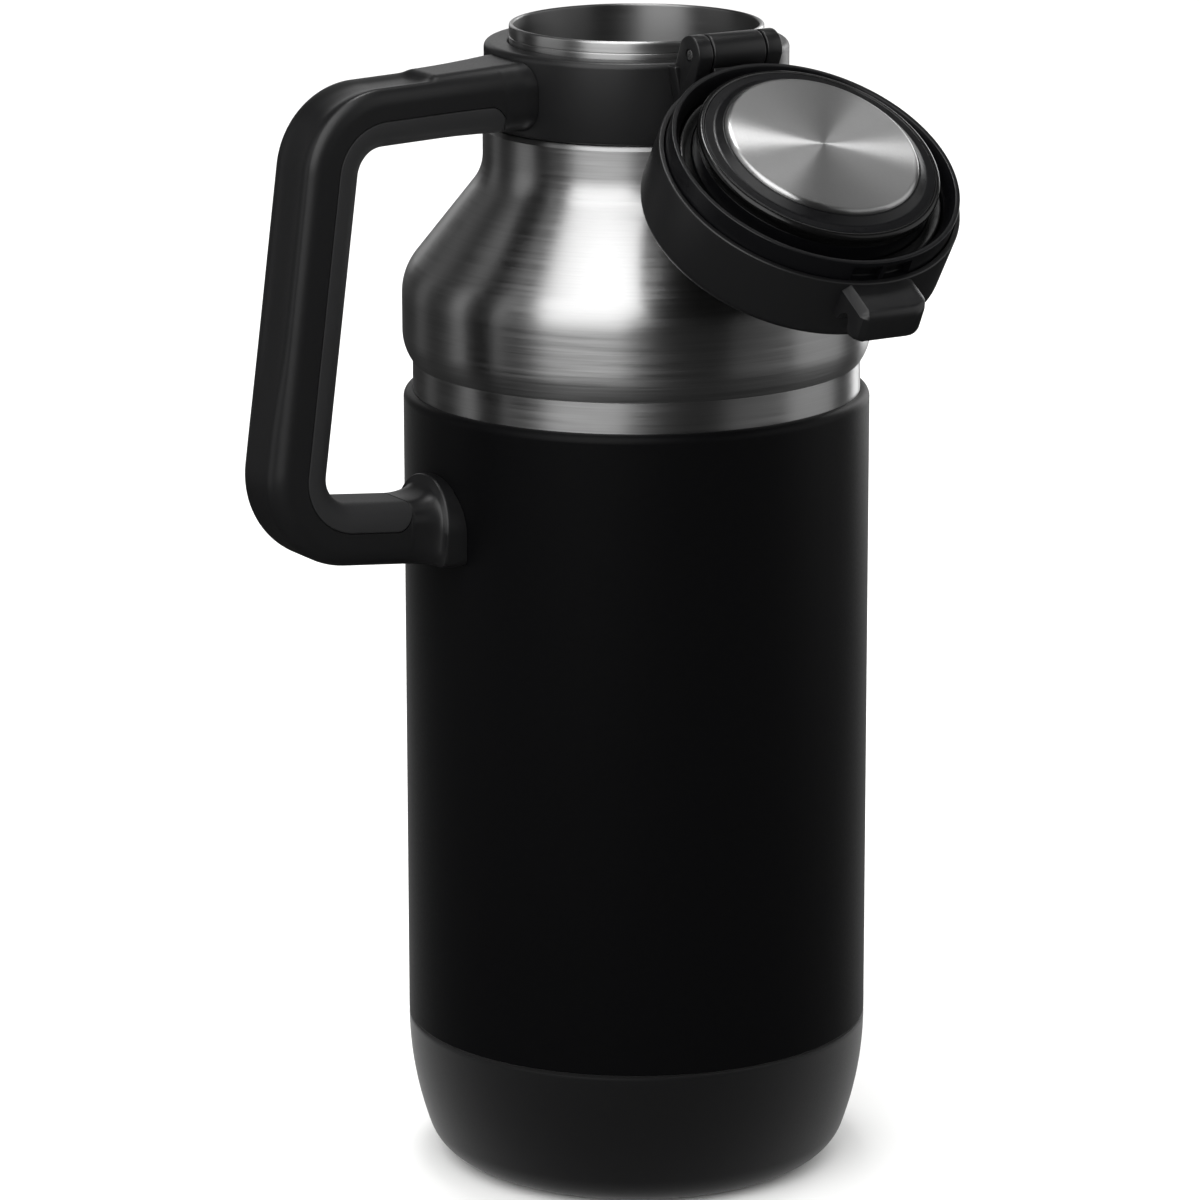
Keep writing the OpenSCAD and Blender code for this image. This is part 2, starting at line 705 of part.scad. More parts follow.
module lid_disc() {
    edge = 0.5;
    face_z = plug_z - disc_boss_h - disc_t;
    color("silver") swung()
        rotate_extrude()
            polygon([[0, face_z], [disc_r - edge, face_z], [disc_r, face_z + edge],
                     [disc_r, face_z + disc_t], [0, face_z + disc_t]]);
}

module plug_gasket() {
    inner = gasket_r - gasket_bite;
    color("#202124") swung()
        rotate_extrude()
            polygon([[inner, plug_z], [gasket_r - 0.5, plug_z], [gasket_r, plug_z + 0.5],
                     [gasket_r, plug_z + gasket_h - 0.6], [gasket_r - 0.6, plug_z + gasket_h],
                     [inner, plug_z + gasket_h]]);
}

module seat_gasket() {
    color("#202124") swung()
        ring(ring_in_r - 0.1, plug_r + 0.1, rim_z + close_gap, channel_z);
}

outer_shell();
inner_vessel();
base_plate();
vacuum_getter();
body_sleeve();
base_cup();
collar();
hinge_pin();
handle_bracket();
handle_frame();
handle_inlay();
handle_screws();
lid_shell();
lid_liner();
lid_insulation();
lid_disc();
plug_gasket();
seat_gasket();
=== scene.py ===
"""Vacuum growler with a side carrying handle and a hinged lid that is swung open."""

import json
import math
from types import SimpleNamespace

import bmesh
import bpy
from mathutils import Matrix, Vector


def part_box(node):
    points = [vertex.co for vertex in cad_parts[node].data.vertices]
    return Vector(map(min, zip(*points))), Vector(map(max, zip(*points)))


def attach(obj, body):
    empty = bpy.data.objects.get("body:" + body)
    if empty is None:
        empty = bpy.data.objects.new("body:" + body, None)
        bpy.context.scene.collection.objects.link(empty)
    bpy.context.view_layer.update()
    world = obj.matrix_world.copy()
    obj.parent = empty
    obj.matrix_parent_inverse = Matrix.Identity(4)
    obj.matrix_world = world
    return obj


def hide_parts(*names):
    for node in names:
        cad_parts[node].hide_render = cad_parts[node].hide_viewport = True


bl_info = {
    "name": "Vacuum growler",
    "version": (1, 0, 0),
    "blender": (4, 5, 0),
    "location": "View3D > Sidebar > Growler",
    "description": "Builds the growler's steel body, handle, collar and open lid",
    "category": "Add Mesh",
}

MM = 0.001
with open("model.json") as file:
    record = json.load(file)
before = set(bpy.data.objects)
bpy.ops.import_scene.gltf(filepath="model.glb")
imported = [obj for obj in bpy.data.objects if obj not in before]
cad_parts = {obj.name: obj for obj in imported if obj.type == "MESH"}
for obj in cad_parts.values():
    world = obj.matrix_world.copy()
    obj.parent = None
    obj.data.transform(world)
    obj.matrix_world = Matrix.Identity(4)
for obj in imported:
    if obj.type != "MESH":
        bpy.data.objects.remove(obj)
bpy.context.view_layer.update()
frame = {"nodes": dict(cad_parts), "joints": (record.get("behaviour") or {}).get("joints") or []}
HINGE = frame["joints"][0]
SEGMENTS = 256  # round the body and the lid
SPARE = 0.04  # keeps the widest steel inside the CAD model's facets, in millimetres
WALL_IN = 0.6  # thickness of the inner vessel's wall, in millimetres
CONE_LEAN = 38.3  # lean of the shoulder cone from upright, in degrees
SEAT_GAP = 0.1  # play between pieces that lie on each other, in millimetres


# Sizes ----------------------------------------------------------------------------------


def top_of(node):
    """Height of a CAD node's top, in millimetres."""
    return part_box(node)[1].z / MM


def foot_of(node):
    """Height of a CAD node's underside, in millimetres."""
    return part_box(node)[0].z / MM


def reach_of(node):
    """How far a CAD node reaches along +X, in millimetres."""
    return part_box(node)[1].x / MM


def length(name, description, default):
    """A length property whose default is given in millimetres."""
    return bpy.props.FloatProperty(
        name=name, description=description, default=default * MM, unit="LENGTH", precision=5
    )


def colour(name, description, default):
    """A colour property whose default is an sRGB hex value."""
    return bpy.props.FloatVectorProperty(
        name=name,
        description=description,
        default=linear(default),
        subtype="COLOR",
        size=4,
        min=0,
        max=1,
    )


def linear(hex_value):
    """An sRGB hex colour as linear RGBA."""
    parts = [int(hex_value[i : i + 2], 16) / 255 for i in (1, 3, 5)]
    return [c / 12.92 if c <= 0.04045 else ((c + 0.055) / 1.055) ** 2.4 for c in parts] + [1.0]


class GROWLER_PG_body(bpy.types.PropertyGroup):
    """Sizes of the steel body, its sleeve and its base."""

    sleeve_r: length(
        "Sleeve radius", "Outer radius of the sleeve and base cup", reach_of("body_sleeve")
    )
    sleeve_top: length("Sleeve top", "Height of the sleeve's top edge", top_of("body_sleeve"))
    seam: length("Seam", "Height of the cup's seam with the sleeve", foot_of("body_sleeve"))
    sleeve_t: length("Sleeve thickness", "Thickness of the sleeve", 2.3)
    cup_t: length("Cup thickness", "Thickness of the base cup", 2.4)
    shoulder_r: length(
        "Shoulder radius", "Outer radius of the steel shoulder", reach_of("outer_shell") - SPARE
    )
    band: length("Bare band", "Height of the bare band between sleeve and step", 7.6)
    step: length("Step", "Height of the rounding at the shoulder's lower edge", 7.5)
    turn_z: length("Turn height", "Height at which the shoulder turns inward", 226.7)
    turn_r: length("Turn radius", "Radius of the turn at the shoulder", 15)
    neck_r: length("Neck radius", "Outer radius of the bare neck", 38.6)
    neck_turn_r: length("Neck turn", "Radius of the hollow at the neck's foot", 12)
    wall: length("Wall", "Thickness of the outer steel wall", 0.8)
    foot_r: length("Foot radius", "Radius of the flat underside", 42.5)
    foot_corner: length("Foot corner", "Radius of the corner at the underside", 12.1)
    mouth_r: length("Mouth radius", "Inner radius of the mouth", 30.7)
    rim: length("Rim height", "Height of the mouth's rim", top_of("inner_vessel"))


class GROWLER_PG_collar(bpy.types.PropertyGroup):
    """Sizes of the collar and the hinge."""

    radius: length("Collar radius", "Outer radius of the collar", 38.2)
    low: length("Collar foot", "Height of the collar's lower edge", foot_of("collar"))
    high: length("Collar top", "Height of the collar's upper edge", 290.46)
    edge: length("Edge rounding", "Rounding of the collar's top edge", 1.6)
    pad_half: length("Hinge pad half width", "Half width of the pad under the hinge", 13.5)
    knuckle_r: length("Knuckle radius", "Radius of the hinge knuckles", 4.8)
    middle: length("Middle knuckle", "Length of the lid's knuckle", 15.1)
    ear: length("Ear", "Length of each of the collar's knuckles", 4.2)
    gap: length("Knuckle gap", "Gap between neighbouring knuckles", 0.3)
    pin_r: length("Pin radius", "Radius of the hinge pin", 1.5)


class GROWLER_PG_handle(bpy.types.PropertyGroup):
    """Sizes of the carrying handle."""

    thick: length("Thickness", "From the handle's inner to its outer side", 15.8)
    wide: length("Width", "Across the handle", 20)
    edge: length("Edge rounding", "Rounding of the handle's long edges", 5)
    bend: length("Corner radius", "Radius of the two corners along the middle", 15)
    pad_r: length("Pad radius", "Radius of the pad at the lower arm's end", 13.5)
    pad_t: length("Pad thickness", "Thickness of the pad's rim", 4.3)
    flare: length("Flare", "Length over which the pad flares out of the arm", 8)
    scoop: length("Thumb scoop", "Depth of the scoop on the upper arm", 1.9)
    inlay_step: length("Inlay step", "Depth of the seat that the inlay lies in", 0.6)


class GROWLER_PG_lid(bpy.types.PropertyGroup):
    """Sizes of the lid as it lies closed on the mouth."""

    radius: length("Lid radius", "Outer radius of the lid shell", 37.9)
    rim: length("Lid rim", "Height of the lid shell's rim", 295.86)
    top: length("Lid top", "Height of the lid's top", 313.66)
    wall: length("Lid wall", "Thickness of the lid shell's wall", 1.5)
    ring_r: length("Ring radius", "Outer radius of the liner's ring", 36.2)
    ring_in: length("Ring bore", "Inner radius of the liner's ring", 33.0)
    ring_low: length("Ring height", "Height of the ring's lower edge", 290.76)
    plug: length("Plug face", "Height of the plug's face", 287.76)
    plug_r: length("Plug radius", "Outer radius of the plug", 29.7)
    gasket_r: length("Gasket radius", "Outer radius of the plug gasket", 30.4)
    disc_r: length("Disc radius", "Radius of the steel disc", 24.2)
    disc_z: length("Disc face", "Height of the disc's face", 285.06)
    tab: length("Tab width", "Width of the lift tab", 20.6)


class GROWLER_PG_finish(bpy.types.PropertyGroup):
    """Colours of the finishes."""

    steel: colour("Steel", "Brushed stainless steel", "#bbbbbb")
    coat: colour("Powder coat", "Satin powder coat on the sleeve", "#050506")
    rubber: colour("Base cup", "Moulded rubber of the base cup", "#070708")
    plastic: colour("Plastic", "Moulded polypropylene of collar, handle and lid", "#0f0f10")
    inlay: colour("Inlay", "Soft thermoplastic elastomer of the grip", "#1c1c1d")
    liner: colour("Liner", "Polished polypropylene of the lid's liner", "#070709")
    # the inside steel's grey, darker than the outside steel's, is painted shade for the hollow of
    # the mouth
    inside: colour("Inside", "Electropolished steel inside the vessel", "#858585")
    silicone: colour("Silicone", "Glossy silicone of the gaskets", "#060606")


GROUPS = {
    "growler_body": GROWLER_PG_body,
    "growler_collar": GROWLER_PG_collar,
    "growler_handle": GROWLER_PG_handle,
    "growler_lid": GROWLER_PG_lid,
    "growler_finish": GROWLER_PG_finish,
}


def sizes(group):
    """A property group's lengths as plain numbers, in millimetres."""
    values = getattr(bpy.context.scene, "growler_" + group)
    return SimpleNamespace(**{k: getattr(values, k) / MM for k in type(values).__annotations__})


# Materials ------------------------------------------------------------------------------


def node(tree, kind, inputs=None, **settings):
    """Adds a shader node with its settings; an input is a value or another node's output."""
    made = tree.nodes.new(kind)
    for name, value in settings.items():
        setattr(made, name, value)
    for name, value in (inputs or {}).items():
        if isinstance(value, bpy.types.NodeSocket):
            tree.links.new(value, made.inputs[name])
        else:
            made.inputs[name].default_value = value
    return made


def surface(name, base, roughness, grain, spread, bump, stretch=(1, 1, 1), tint=0.15, **shader):
    """A material whose colour, roughness and relief follow one grain.

    grain is the size of the grain in millimetres, spread how far the roughness swings and
    bump the height of the relief in millimetres. stretch scales the grain along each axis.
    """
    material = bpy.data.materials.get(name)
    if material:
        return material
    material = bpy.data.materials.new(name)
    material.use_nodes = True
    tree = material.node_tree
    tree.nodes.clear()
    place = node(tree, "ShaderNodeTexCoord").outputs["Object"]
    stretched = node(tree, "ShaderNodeMapping", {"Vector": place, "Scale": stretch})
    fine = node(
        tree,
        "ShaderNodeTexNoise",
        {"Vector": stretched.outputs[0], "Scale": 1 / (grain * MM), "Detail": 4,
         "Roughness": 0.6},
    )
    broad = node(
        tree, "ShaderNodeTexNoise", {"Vector": place, "Scale": 1 / (35 * MM), "Detail": 3}
    )
    rough = node(
        tree,
        "ShaderNodeMapRange",
        {"Value": fine.outputs["Fac"], "From Min": 0.3, "From Max": 0.7,
         "To Min": roughness - spread, "To Max": roughness + spread},
    )
    patch = node(
        tree,
        "ShaderNodeMath",
        {0: broad.outputs["Fac"], 1: spread, 2: rough.outputs[0]},
        operation="MULTIPLY_ADD",
    )
    light = [min(1, c * (1 + tint)) for c in base[:3]] + [1]
    dark = [c * (1 - tint) for c in base[:3]] + [1]
    # the Mix node's inputs 6 and 7, and its output 2, are its colours
    mix = node(
        tree, "ShaderNodeMix", {0: fine.outputs["Fac"], 6: dark, 7: light}, data_type="RGBA"
    )
    relief = node(
        tree,
        "ShaderNodeBump",
        {"Height": fine.outputs["Fac"], "Distance": bump * MM, "Strength": 1.0},
    )
    shade = node(
        tree,
        "ShaderNodeBsdfPrincipled",
        {"Base Color": mix.outputs[2], "Roughness": patch.outputs[0],
         "Normal": relief.outputs[0], **shader},
    )
    node(tree, "ShaderNodeOutputMaterial", {"Surface": shade.outputs[0]})
    return material


def finish_of(name):
    """A finish's colour as linear RGBA."""
    return list(getattr(bpy.context.scene.growler_finish, name))


def along_turn(material):
    """Lets a turned metal's stretched highlight follow the turning direction."""
    tree = material.node_tree
    shade = next(n for n in tree.nodes if n.type == "BSDF_PRINCIPLED")
    if not shade.inputs["Tangent"].is_linked:
        tangent = node(tree, "ShaderNodeTangent", direction_type="RADIAL", axis="Z")
        tree.links.new(tangent.outputs[0], shade.inputs["Tangent"])
    return material


def brushed_steel():
    # 304 stainless steel brushed round its axis: level scratches that stretch each highlight
    # into an upright band. Real ones are 0.1 mm apart; these are 0.55 mm so that they show.
    return surface(
        "stainless_steel_brushed_round", finish_of("steel"), 0.34, 2.2, 0.06, 0.0035,
        stretch=(0.06, 0.06, 4), tint=0.22, Metallic=1.0, Anisotropic=0.85,
        **{"Anisotropic Rotation": 0.25},
    )


def spun_steel():
    # The same steel faced on a lathe: fine rings that gather light into a fan. Real ones are
    # about 0.15 mm apart; these are 1 mm, which is 0.314 of the wave's scale, so that they show.
    material = surface(
        "stainless_steel_spun_face", finish_of("steel"), 0.3, 0.9, 0.02, 0.0,
        tint=0.05, Metallic=1.0, Anisotropic=0.95, **{"Anisotropic Rotation": 0.25},
    )
    tree = material.node_tree
    if "rings" not in tree.nodes:
        place = next(n for n in tree.nodes if n.type == "TEX_COORD").outputs["Object"]
        rings = node(
            tree, "ShaderNodeTexWave",
            {"Vector": place, "Scale": 1 / (3.2 * MM), "Distortion": 0.6, "Detail": 2,
             "Detail Scale": 4},
            wave_type="RINGS", rings_direction="Z", name="rings",
        )
        bump = next(n for n in tree.nodes if n.type == "BUMP")
        tree.links.new(rings.outputs["Fac"], bump.inputs["Height"])
        bump.inputs["Distance"].default_value = 0.004 * MM
    return along_turn(material)


def polished_steel():
    # Drawn steel wire of the pin and the screws: smooth, with faint uneven marks.
    return surface(
        "stainless_steel_drawn", finish_of("steel"), 0.24, 0.8, 0.04, 0.004, Metallic=1.0
    )


def inner_steel():
    # Electropolished steel inside the vessel: softer than the brushed outside. Its grey, darker
    # than the outside steel's, is painted shade for the hollow of the mouth.
    return surface(
        "stainless_steel_electropolished", finish_of("inside"), 0.38, 3.0, 0.04, 0.001,
        stretch=(0.1, 0.1, 5), tint=0.05, Metallic=1.0, Anisotropic=0.7,
        **{"Anisotropic Rotation": 0.25},
    )


def powder_coat():
    # Polyester powder coat: deep black satin with a faint orange peel 0.8 mm across.
    return surface(
        "powder_coat_satin_black", finish_of("coat"), 0.42, 0.8, 0.03, 0.006,
        **{"IOR": 1.5, "Specular IOR Level": 0.1, "Sheen Weight": 0.1, "Sheen Roughness": 0.3},
    )


def moulded_rubber():
    # Moulded rubber of the base cup: a little greyer and flatter than the sleeve.
    return surface(
        "rubber_moulded_black", finish_of("rubber"), 0.5, 0.5, 0.04, 0.010,
        **{"IOR": 1.52, "Specular IOR Level": 0.15, "Sheen Weight": 0.25, "Sheen Roughness": 0.42},
    )


def moulded_plastic():
    # Polypropylene from a finely spark-eroded mould: dark, with a soft satin highlight.
    return surface(
        "polypropylene_moulded_black", finish_of("plastic"), 0.36, 0.45, 0.04, 0.008,
        **{"IOR": 1.49, "Specular IOR Level": 0.5},
    )


def polished_plastic():
    # The liner's polypropylene: darker and glossier than the shell.
    return surface(
        "polypropylene_polished_black", finish_of("liner"), 0.3, 1.2, 0.05, 0.006, tint=0.3,
        **{"IOR": 1.49, "Specular IOR Level": 0.35},
    )


def soft_grip():
    # Thermoplastic elastomer moulded over the grip: dry and flat, with a fine grain.
    return surface(
        "elastomer_overmoulded_black", finish_of("inlay"), 0.55, 0.5, 0.05, 0.012,
        **{"IOR": 1.5, "Specular IOR Level": 0.4, "Sheen Weight": 0.05, "Sheen Roughness": 0.4},
    )


def silicone():
    # Food-grade silicone: smooth and wet-looking, so its edges catch thin lines of light.
    return surface(
        "silicone_glossy_black", finish_of("silicone"), 0.2, 1.5, 0.04, 0.004,
        **{"IOR": 1.43, "Specular IOR Level": 0.5},
    )


def rigid_foam():
    # Polyurethane foam that fills the plug: pale and open, with cells about 0.6 mm across.
    return surface("polyurethane_foam", linear("#d9cda6"), 0.85, 0.6, 0.05, 0.15)


def getter_metal():
    # Sintered getter alloy: dull dark grey with a coarse grain.
    return surface("getter_alloy_sintered", linear("#5b5c5f"), 0.6, 0.3, 0.08, 0.03, Metallic=1.0)


# Mesh tools -----------------------------------------------------------------------------


def arc(x, z, radius, start, end, count=16):
    """Points of an arc, from one angle to another, in degrees."""
    return [
        (x + radius * math.cos(math.radians(start + (end - start) * i / count)),
         z + radius * math.sin(math.radians(start + (end - start) * i / count)))
        for i in range(count + 1)
    ]


def rounded(points, radius=0.3, count=4, closed=True):
    """An outline whose sharp corners are rounded. A point may carry its own radius."""
    out = []
    total = len(points)
    for i, point in enumerate(points):
        r = point[2] if len(point) > 2 else radius
        if not closed and i in (0, total - 1):
            out.append(tuple(point[:2]))
            continue
        here = Vector(point[:2])
        before = Vector(points[i - 1][:2]) - here
        after = Vector(points[(i + 1) % total][:2]) - here
        angle = before.angle(after, math.pi)
        if angle > math.radians(150) or r <= 0 or here.x < 1e-6:
            out.append(tuple(here))
            continue
        cut = min(r / math.tan(angle / 2), 0.45 * before.length, 0.45 * after.length)
        r = cut * math.tan(angle / 2)
        before.normalize()
        after.normalize()
        centre = here + (before + after).normalized() * r / math.sin(angle / 2)
        first = here + before * cut - centre
        last = here + after * cut - centre
        sweep = first.angle(last)
        turn = 1 if first.x * last.y - first.y * last.x > 0 else -1
        base = math.atan2(first.y, first.x)
        for k in range(count + 1):
            a = base + turn * sweep * k / count
            out.append((centre.x + r * math.cos(a), centre.y + r * math.sin(a)))
    return out


def as_object(name, bm, sharp=35):
    """Turns a bmesh in millimetres into a smooth object in metres."""
    bmesh.ops.remove_doubles(bm, verts=bm.verts, dist=1e-4)
    bmesh.ops.dissolve_degenerate(bm, edges=bm.edges, dist=1e-4)
    bmesh.ops.recalc_face_normals(bm, faces=bm.faces)
    bmesh.ops.scale(bm, vec=(MM, MM, MM), verts=bm.verts)
    mesh = bpy.data.meshes.new(name)
    bm.to_mesh(mesh)
    bm.free()
    mesh.shade_smooth()
    mesh.set_sharp_from_angle(angle=math.radians(sharp))
    made = bpy.data.objects.new(name, mesh)
    bpy.context.scene.collection.objects.link(made)
    return made


def turned(outline, segments=SEGMENTS, start=0, sweep=360):
    """A closed outline of (radius, height) turned round the Z axis, wholly or in part."""
    bm = bmesh.new()
    whole = sweep >= 360
    count = segments if whole else segments + 1
    rings = []
    for k in range(count):
        a = math.radians(start + sweep * k / segments)
        rings.append([bm.verts.new((r * math.cos(a), r * math.sin(a), z)) for r, z in outline])
    n = len(outline)
    for k in range(segments):
        one, two = rings[k], rings[(k + 1) % count]
        for i in range(n):
            j = (i + 1) % n
            if outline[i][0] < 1e-6 and outline[j][0] < 1e-6:
                continue
            bm.faces.new((one[i], one[j], two[j], two[i]))
    if not whole:
        bm.faces.new(rings[0])
        bm.faces.new(reversed(rings[-1]))
    return bm


def lathe(name, outline, **settings):
    """An object turned round the Z axis from a closed outline of (radius, height)."""
    return as_object(name, turned(outline, **settings))


def bar(name, outline, x0, x1, bevel=0.4, count=3):
    """A bar along X: an outline of (y, z) between two places, with rounded edges."""
    bm = bmesh.new()
    ends = [[bm.verts.new((x, y, z)) for y, z in outline] for x in (x0, x1)]
    n = len(outline)
    for i in range(n):
        bm.faces.new((ends[0][i], ends[0][(i + 1) % n], ends[1][(i + 1) % n], ends[1][i]))
    bm.faces.new(ends[0])
    bm.faces.new(ends[1])
    bmesh.ops.recalc_face_normals(bm, faces=bm.faces)
    edges = [e for e in bm.edges if e.calc_face_angle(0) > math.radians(28)]
    if bevel:
        bmesh.ops.bevel(
            bm, geom=edges, offset=bevel, segments=count, profile=0.5, affect="EDGES",
            clamp_overlap=True,
        )
    return as_object(name, bm)


def combine(whole, parts, operation):
    """Adds parts to an object or cuts them from it, and removes the parts."""
    for part in parts:
        step = whole.modifiers.new("step", "BOOLEAN")
        step.operation = operation
        step.solver = "EXACT"
        step.object = part
    graph = bpy.context.evaluated_depsgraph_get()
    mesh = bpy.data.meshes.new_from_object(whole.evaluated_get(graph), depsgraph=graph)
    whole.modifiers.clear()
    bm = bmesh.new()
    bm.from_mesh(mesh)
    # points closer than a micrometre come from faces that graze each other
    bmesh.ops.remove_doubles(bm, verts=bm.verts, dist=0.001 * MM)
    bmesh.ops.dissolve_degenerate(bm, edges=bm.edges, dist=0.001 * MM)
    bm.to_mesh(mesh)
    bm.free()
    whole.data = mesh
    for part in parts:
        bpy.data.objects.remove(part)
    mesh.shade_smooth()
    mesh.set_sharp_from_angle(angle=math.radians(32))
    return whole


def fit(piece, material, body, slot, *nodes):
    """Gives a piece its material and its body, and hides the CAD nodes that it stands for. The
    slot is not used.
    """
    piece.data.materials.clear()
    piece.data.materials.append(material)
    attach(piece, body)
    if nodes:
        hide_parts(*nodes)
    return piece


def dress(name, material):
    """Gives a CAD node that stays its material."""
    piece = frame["nodes"][name]
    piece.data.materials.clear()
    piece.data.materials.append(material)


def opening():
    """The turn about the hinge pin that swings a closed lid piece open."""
    place = Vector(HINGE["pos_m"])
    opened = math.radians(HINGE["range_deg"][1])
    return Matrix.Translation(place) @ Matrix.Rotation(opened, 4, "X") @ Matrix.Translation(-place)


def swung(piece):
    """Swings a round lid piece open, which keeps its own upright axis for its finish."""
    piece.matrix_world = opening()
    return piece


# Body -----------------------------------------------------------------------------------


def base_side(b, inset):
    """The side of the base from the underside up to the seam, moved inward by inset."""
    run = b.sleeve_r - b.foot_r
    rise = b.seam - b.foot_corner
    side_r = (rise**2 + run**2 - b.foot_corner**2) / (2 * (run - b.foot_corner))
    centre = b.sleeve_r - side_r
    meet = math.degrees(math.atan2(b.foot_corner - b.seam, b.foot_r - centre))
    return arc(b.foot_r, b.foot_corner, b.foot_corner - inset, -90, meet, 24) + arc(
        centre, b.seam, side_r - inset, meet, 0, 24
    )


def shoulder_side(b, inset):
    """The shoulder cone and the neck's hollow, moved inward by inset."""
    lean = math.radians(CONE_LEAN)
    cone_r = b.shoulder_r - b.turn_r * (1 - math.cos(lean))
    cone_z = b.turn_z + b.turn_r * math.sin(lean)
    foot_r = b.neck_r + b.neck_turn_r * (1 - math.cos(lean))
    foot_z = cone_z + (cone_r - foot_r) / math.tan(lean)
    neck_z = foot_z + b.neck_turn_r * math.sin(lean)
    return arc(b.shoulder_r - b.turn_r, b.turn_z, b.turn_r - inset, 0, CONE_LEAN, 24) + arc(
        b.neck_r + b.neck_turn_r, neck_z, b.neck_turn_r + inset, 180 + CONE_LEAN, 180, 24
    )


class GROWLER_OT_body(bpy.types.Operator):
    """Builds the steel body, the vessel with its lip, the sleeve and the base cup"""

    bl_idname = "growler.body"
    bl_label = "Body"

    def execute(self, context):
        b = sizes("body")
        c = sizes("collar")
        recess = b.sleeve_r - b.sleeve_t - SEAT_GAP
        band_top = b.sleeve_top + b.band
        step_top = band_top + b.step
        step_r = (b.step**2 + (b.shoulder_r - recess) ** 2) / (2 * (b.shoulder_r - recess))
        throat = c.radius - 3.5
        throat_top = top_of("outer_shell")
        lip_r = b.mouth_r + 2 * WALL_IN  # the lip is the wall folded over
        floor = foot_of("outer_shell")
        outside = (
            [(recess, b.seam), (recess, band_top - 0.3)]
            + arc(b.shoulder_r - step_r, step_top, step_r,
                  -math.degrees(math.asin(b.step / step_r)), 0, 16)
            + shoulder_side(b, 0)
            + [(b.neck_r, c.low - 1.4), (b.neck_r - 1, c.low - 0.4), (throat, c.low - 0.4),
               (throat, throat_top), (lip_r, throat_top)]
        )
        inside = (
            [(recess - b.wall, b.seam), (recess - b.wall, step_top)]
            + shoulder_side(b, b.wall)
            + [(b.neck_r - b.wall, c.low - 1.4), (throat - b.wall, c.low - 0.4),
               (throat - b.wall, throat_top - b.wall), (lip_r, throat_top - b.wall)]
        )
        low_out = base_side(b, b.cup_t + SEAT_GAP)
        low_in = base_side(b, b.cup_t + SEAT_GAP + b.wall)
        shell = [(b.foot_r - 4, floor)] + low_out + outside + inside[::-1] + low_in[::-1]
        shell.append((b.foot_r - 4, floor + b.wall))
        fit(lathe("steel_body", shell), along_turn(brushed_steel()), "bottle", "steel_body",
            "outer_shell")

        vessel_r = reach_of("inner_vessel")
        vessel_z = foot_of("inner_vessel")
        corner_r = 20  # at the vessel's floor
        turn_r = 12  # at its shoulder
        turn_z = b.turn_z - (b.shoulder_r - vessel_r)
        lean = math.radians(CONE_LEAN)
        cone = (
            turn_z + turn_r * math.sin(lean)
            + (vessel_r - turn_r * (1 - math.cos(lean)) - lip_r) / math.tan(lean)
        )

        def wall(inset, neck_r):
            return (
                [(0, vessel_z + inset)]
                + arc(vessel_r - corner_r, vessel_z + corner_r, corner_r - inset, -90, 0, 20)
                + arc(vessel_r - turn_r, turn_z, turn_r - inset, 0, CONE_LEAN, 12)
                + [(neck_r, cone)]
            )

        outer = wall(0, lip_r)
        inner = wall(WALL_IN, b.mouth_r)
        # the rim is rolled over, with a fine step below it where the lip was trimmed
        lip = arc((lip_r + b.mouth_r) / 2, b.rim - WALL_IN, WALL_IN, 0, 180, 12)
        trim = [(lip_r, b.rim - 3.2), (lip_r - 0.12, b.rim - 3.05), (lip_r - 0.12, b.rim - 2.9),
                (lip_r, b.rim - 2.75)]
        vessel = lathe("steel_vessel", outer + trim + lip + inner[::-1])
        fit(vessel, along_turn(brushed_steel()), "bottle", "steel_vessel", "inner_vessel")
        # the inward faces take the darker steel, whose grey is painted shade in the mouth's hollow
        vessel.data.materials.append(along_turn(inner_steel()))
        for face in vessel.data.polygons:
            outward = face.center.x * face.normal.x + face.center.y * face.normal.y
            face.material_index = 0 if outward > 0 else 1

        soft = 2.3  # rounding of the sleeve's top edge
        inside_r = recess + SEAT_GAP
        foot = b.seam + 0.25  # leaves a fine groove above the cup
        sleeve = [(inside_r, foot)] + rounded(
            [(inside_r, foot), (b.sleeve_r, foot, 0.5), (b.sleeve_r, b.sleeve_top - soft)],
            closed=False)[1:-1]
        sleeve += arc(b.sleeve_r - soft, b.sleeve_top - soft, soft, 0, 84, 20)
        sleeve.append((inside_r, b.sleeve_top - 0.02))
        fit(lathe("sleeve", sleeve), powder_coat(), "bottle", "sleeve", "body_sleeve")

        # the underside has one shallow tread groove
        tread = b.foot_r - 8
        cup = [(0, 0), (tread - 0.4, 0)] + [(tread, 0.4), (tread, 0.8), (tread + 4, 0.8),
                                           (tread + 4, 0.4), (tread + 4.4, 0)]
        cup += base_side(b, 0)[:-1]
        cup += [(b.sleeve_r, b.seam - 0.8), (b.sleeve_r - 0.15, b.seam - 0.4),
                (b.sleeve_r - 0.5, b.seam - 0.2), (inside_r, b.seam - 0.2)]
        cup += base_side(b, b.cup_t)[::-1] + [(0, b.cup_t)]
        fit(lathe("base_cup_piece", cup), moulded_rubber(), "bottle", "base_cup", "base_cup")
        dress("base_plate", inner_steel())
        dress("vacuum_getter", getter_metal())
        return {"FINISHED"}


# Collar and hinge -----------------------------------------------------------------------


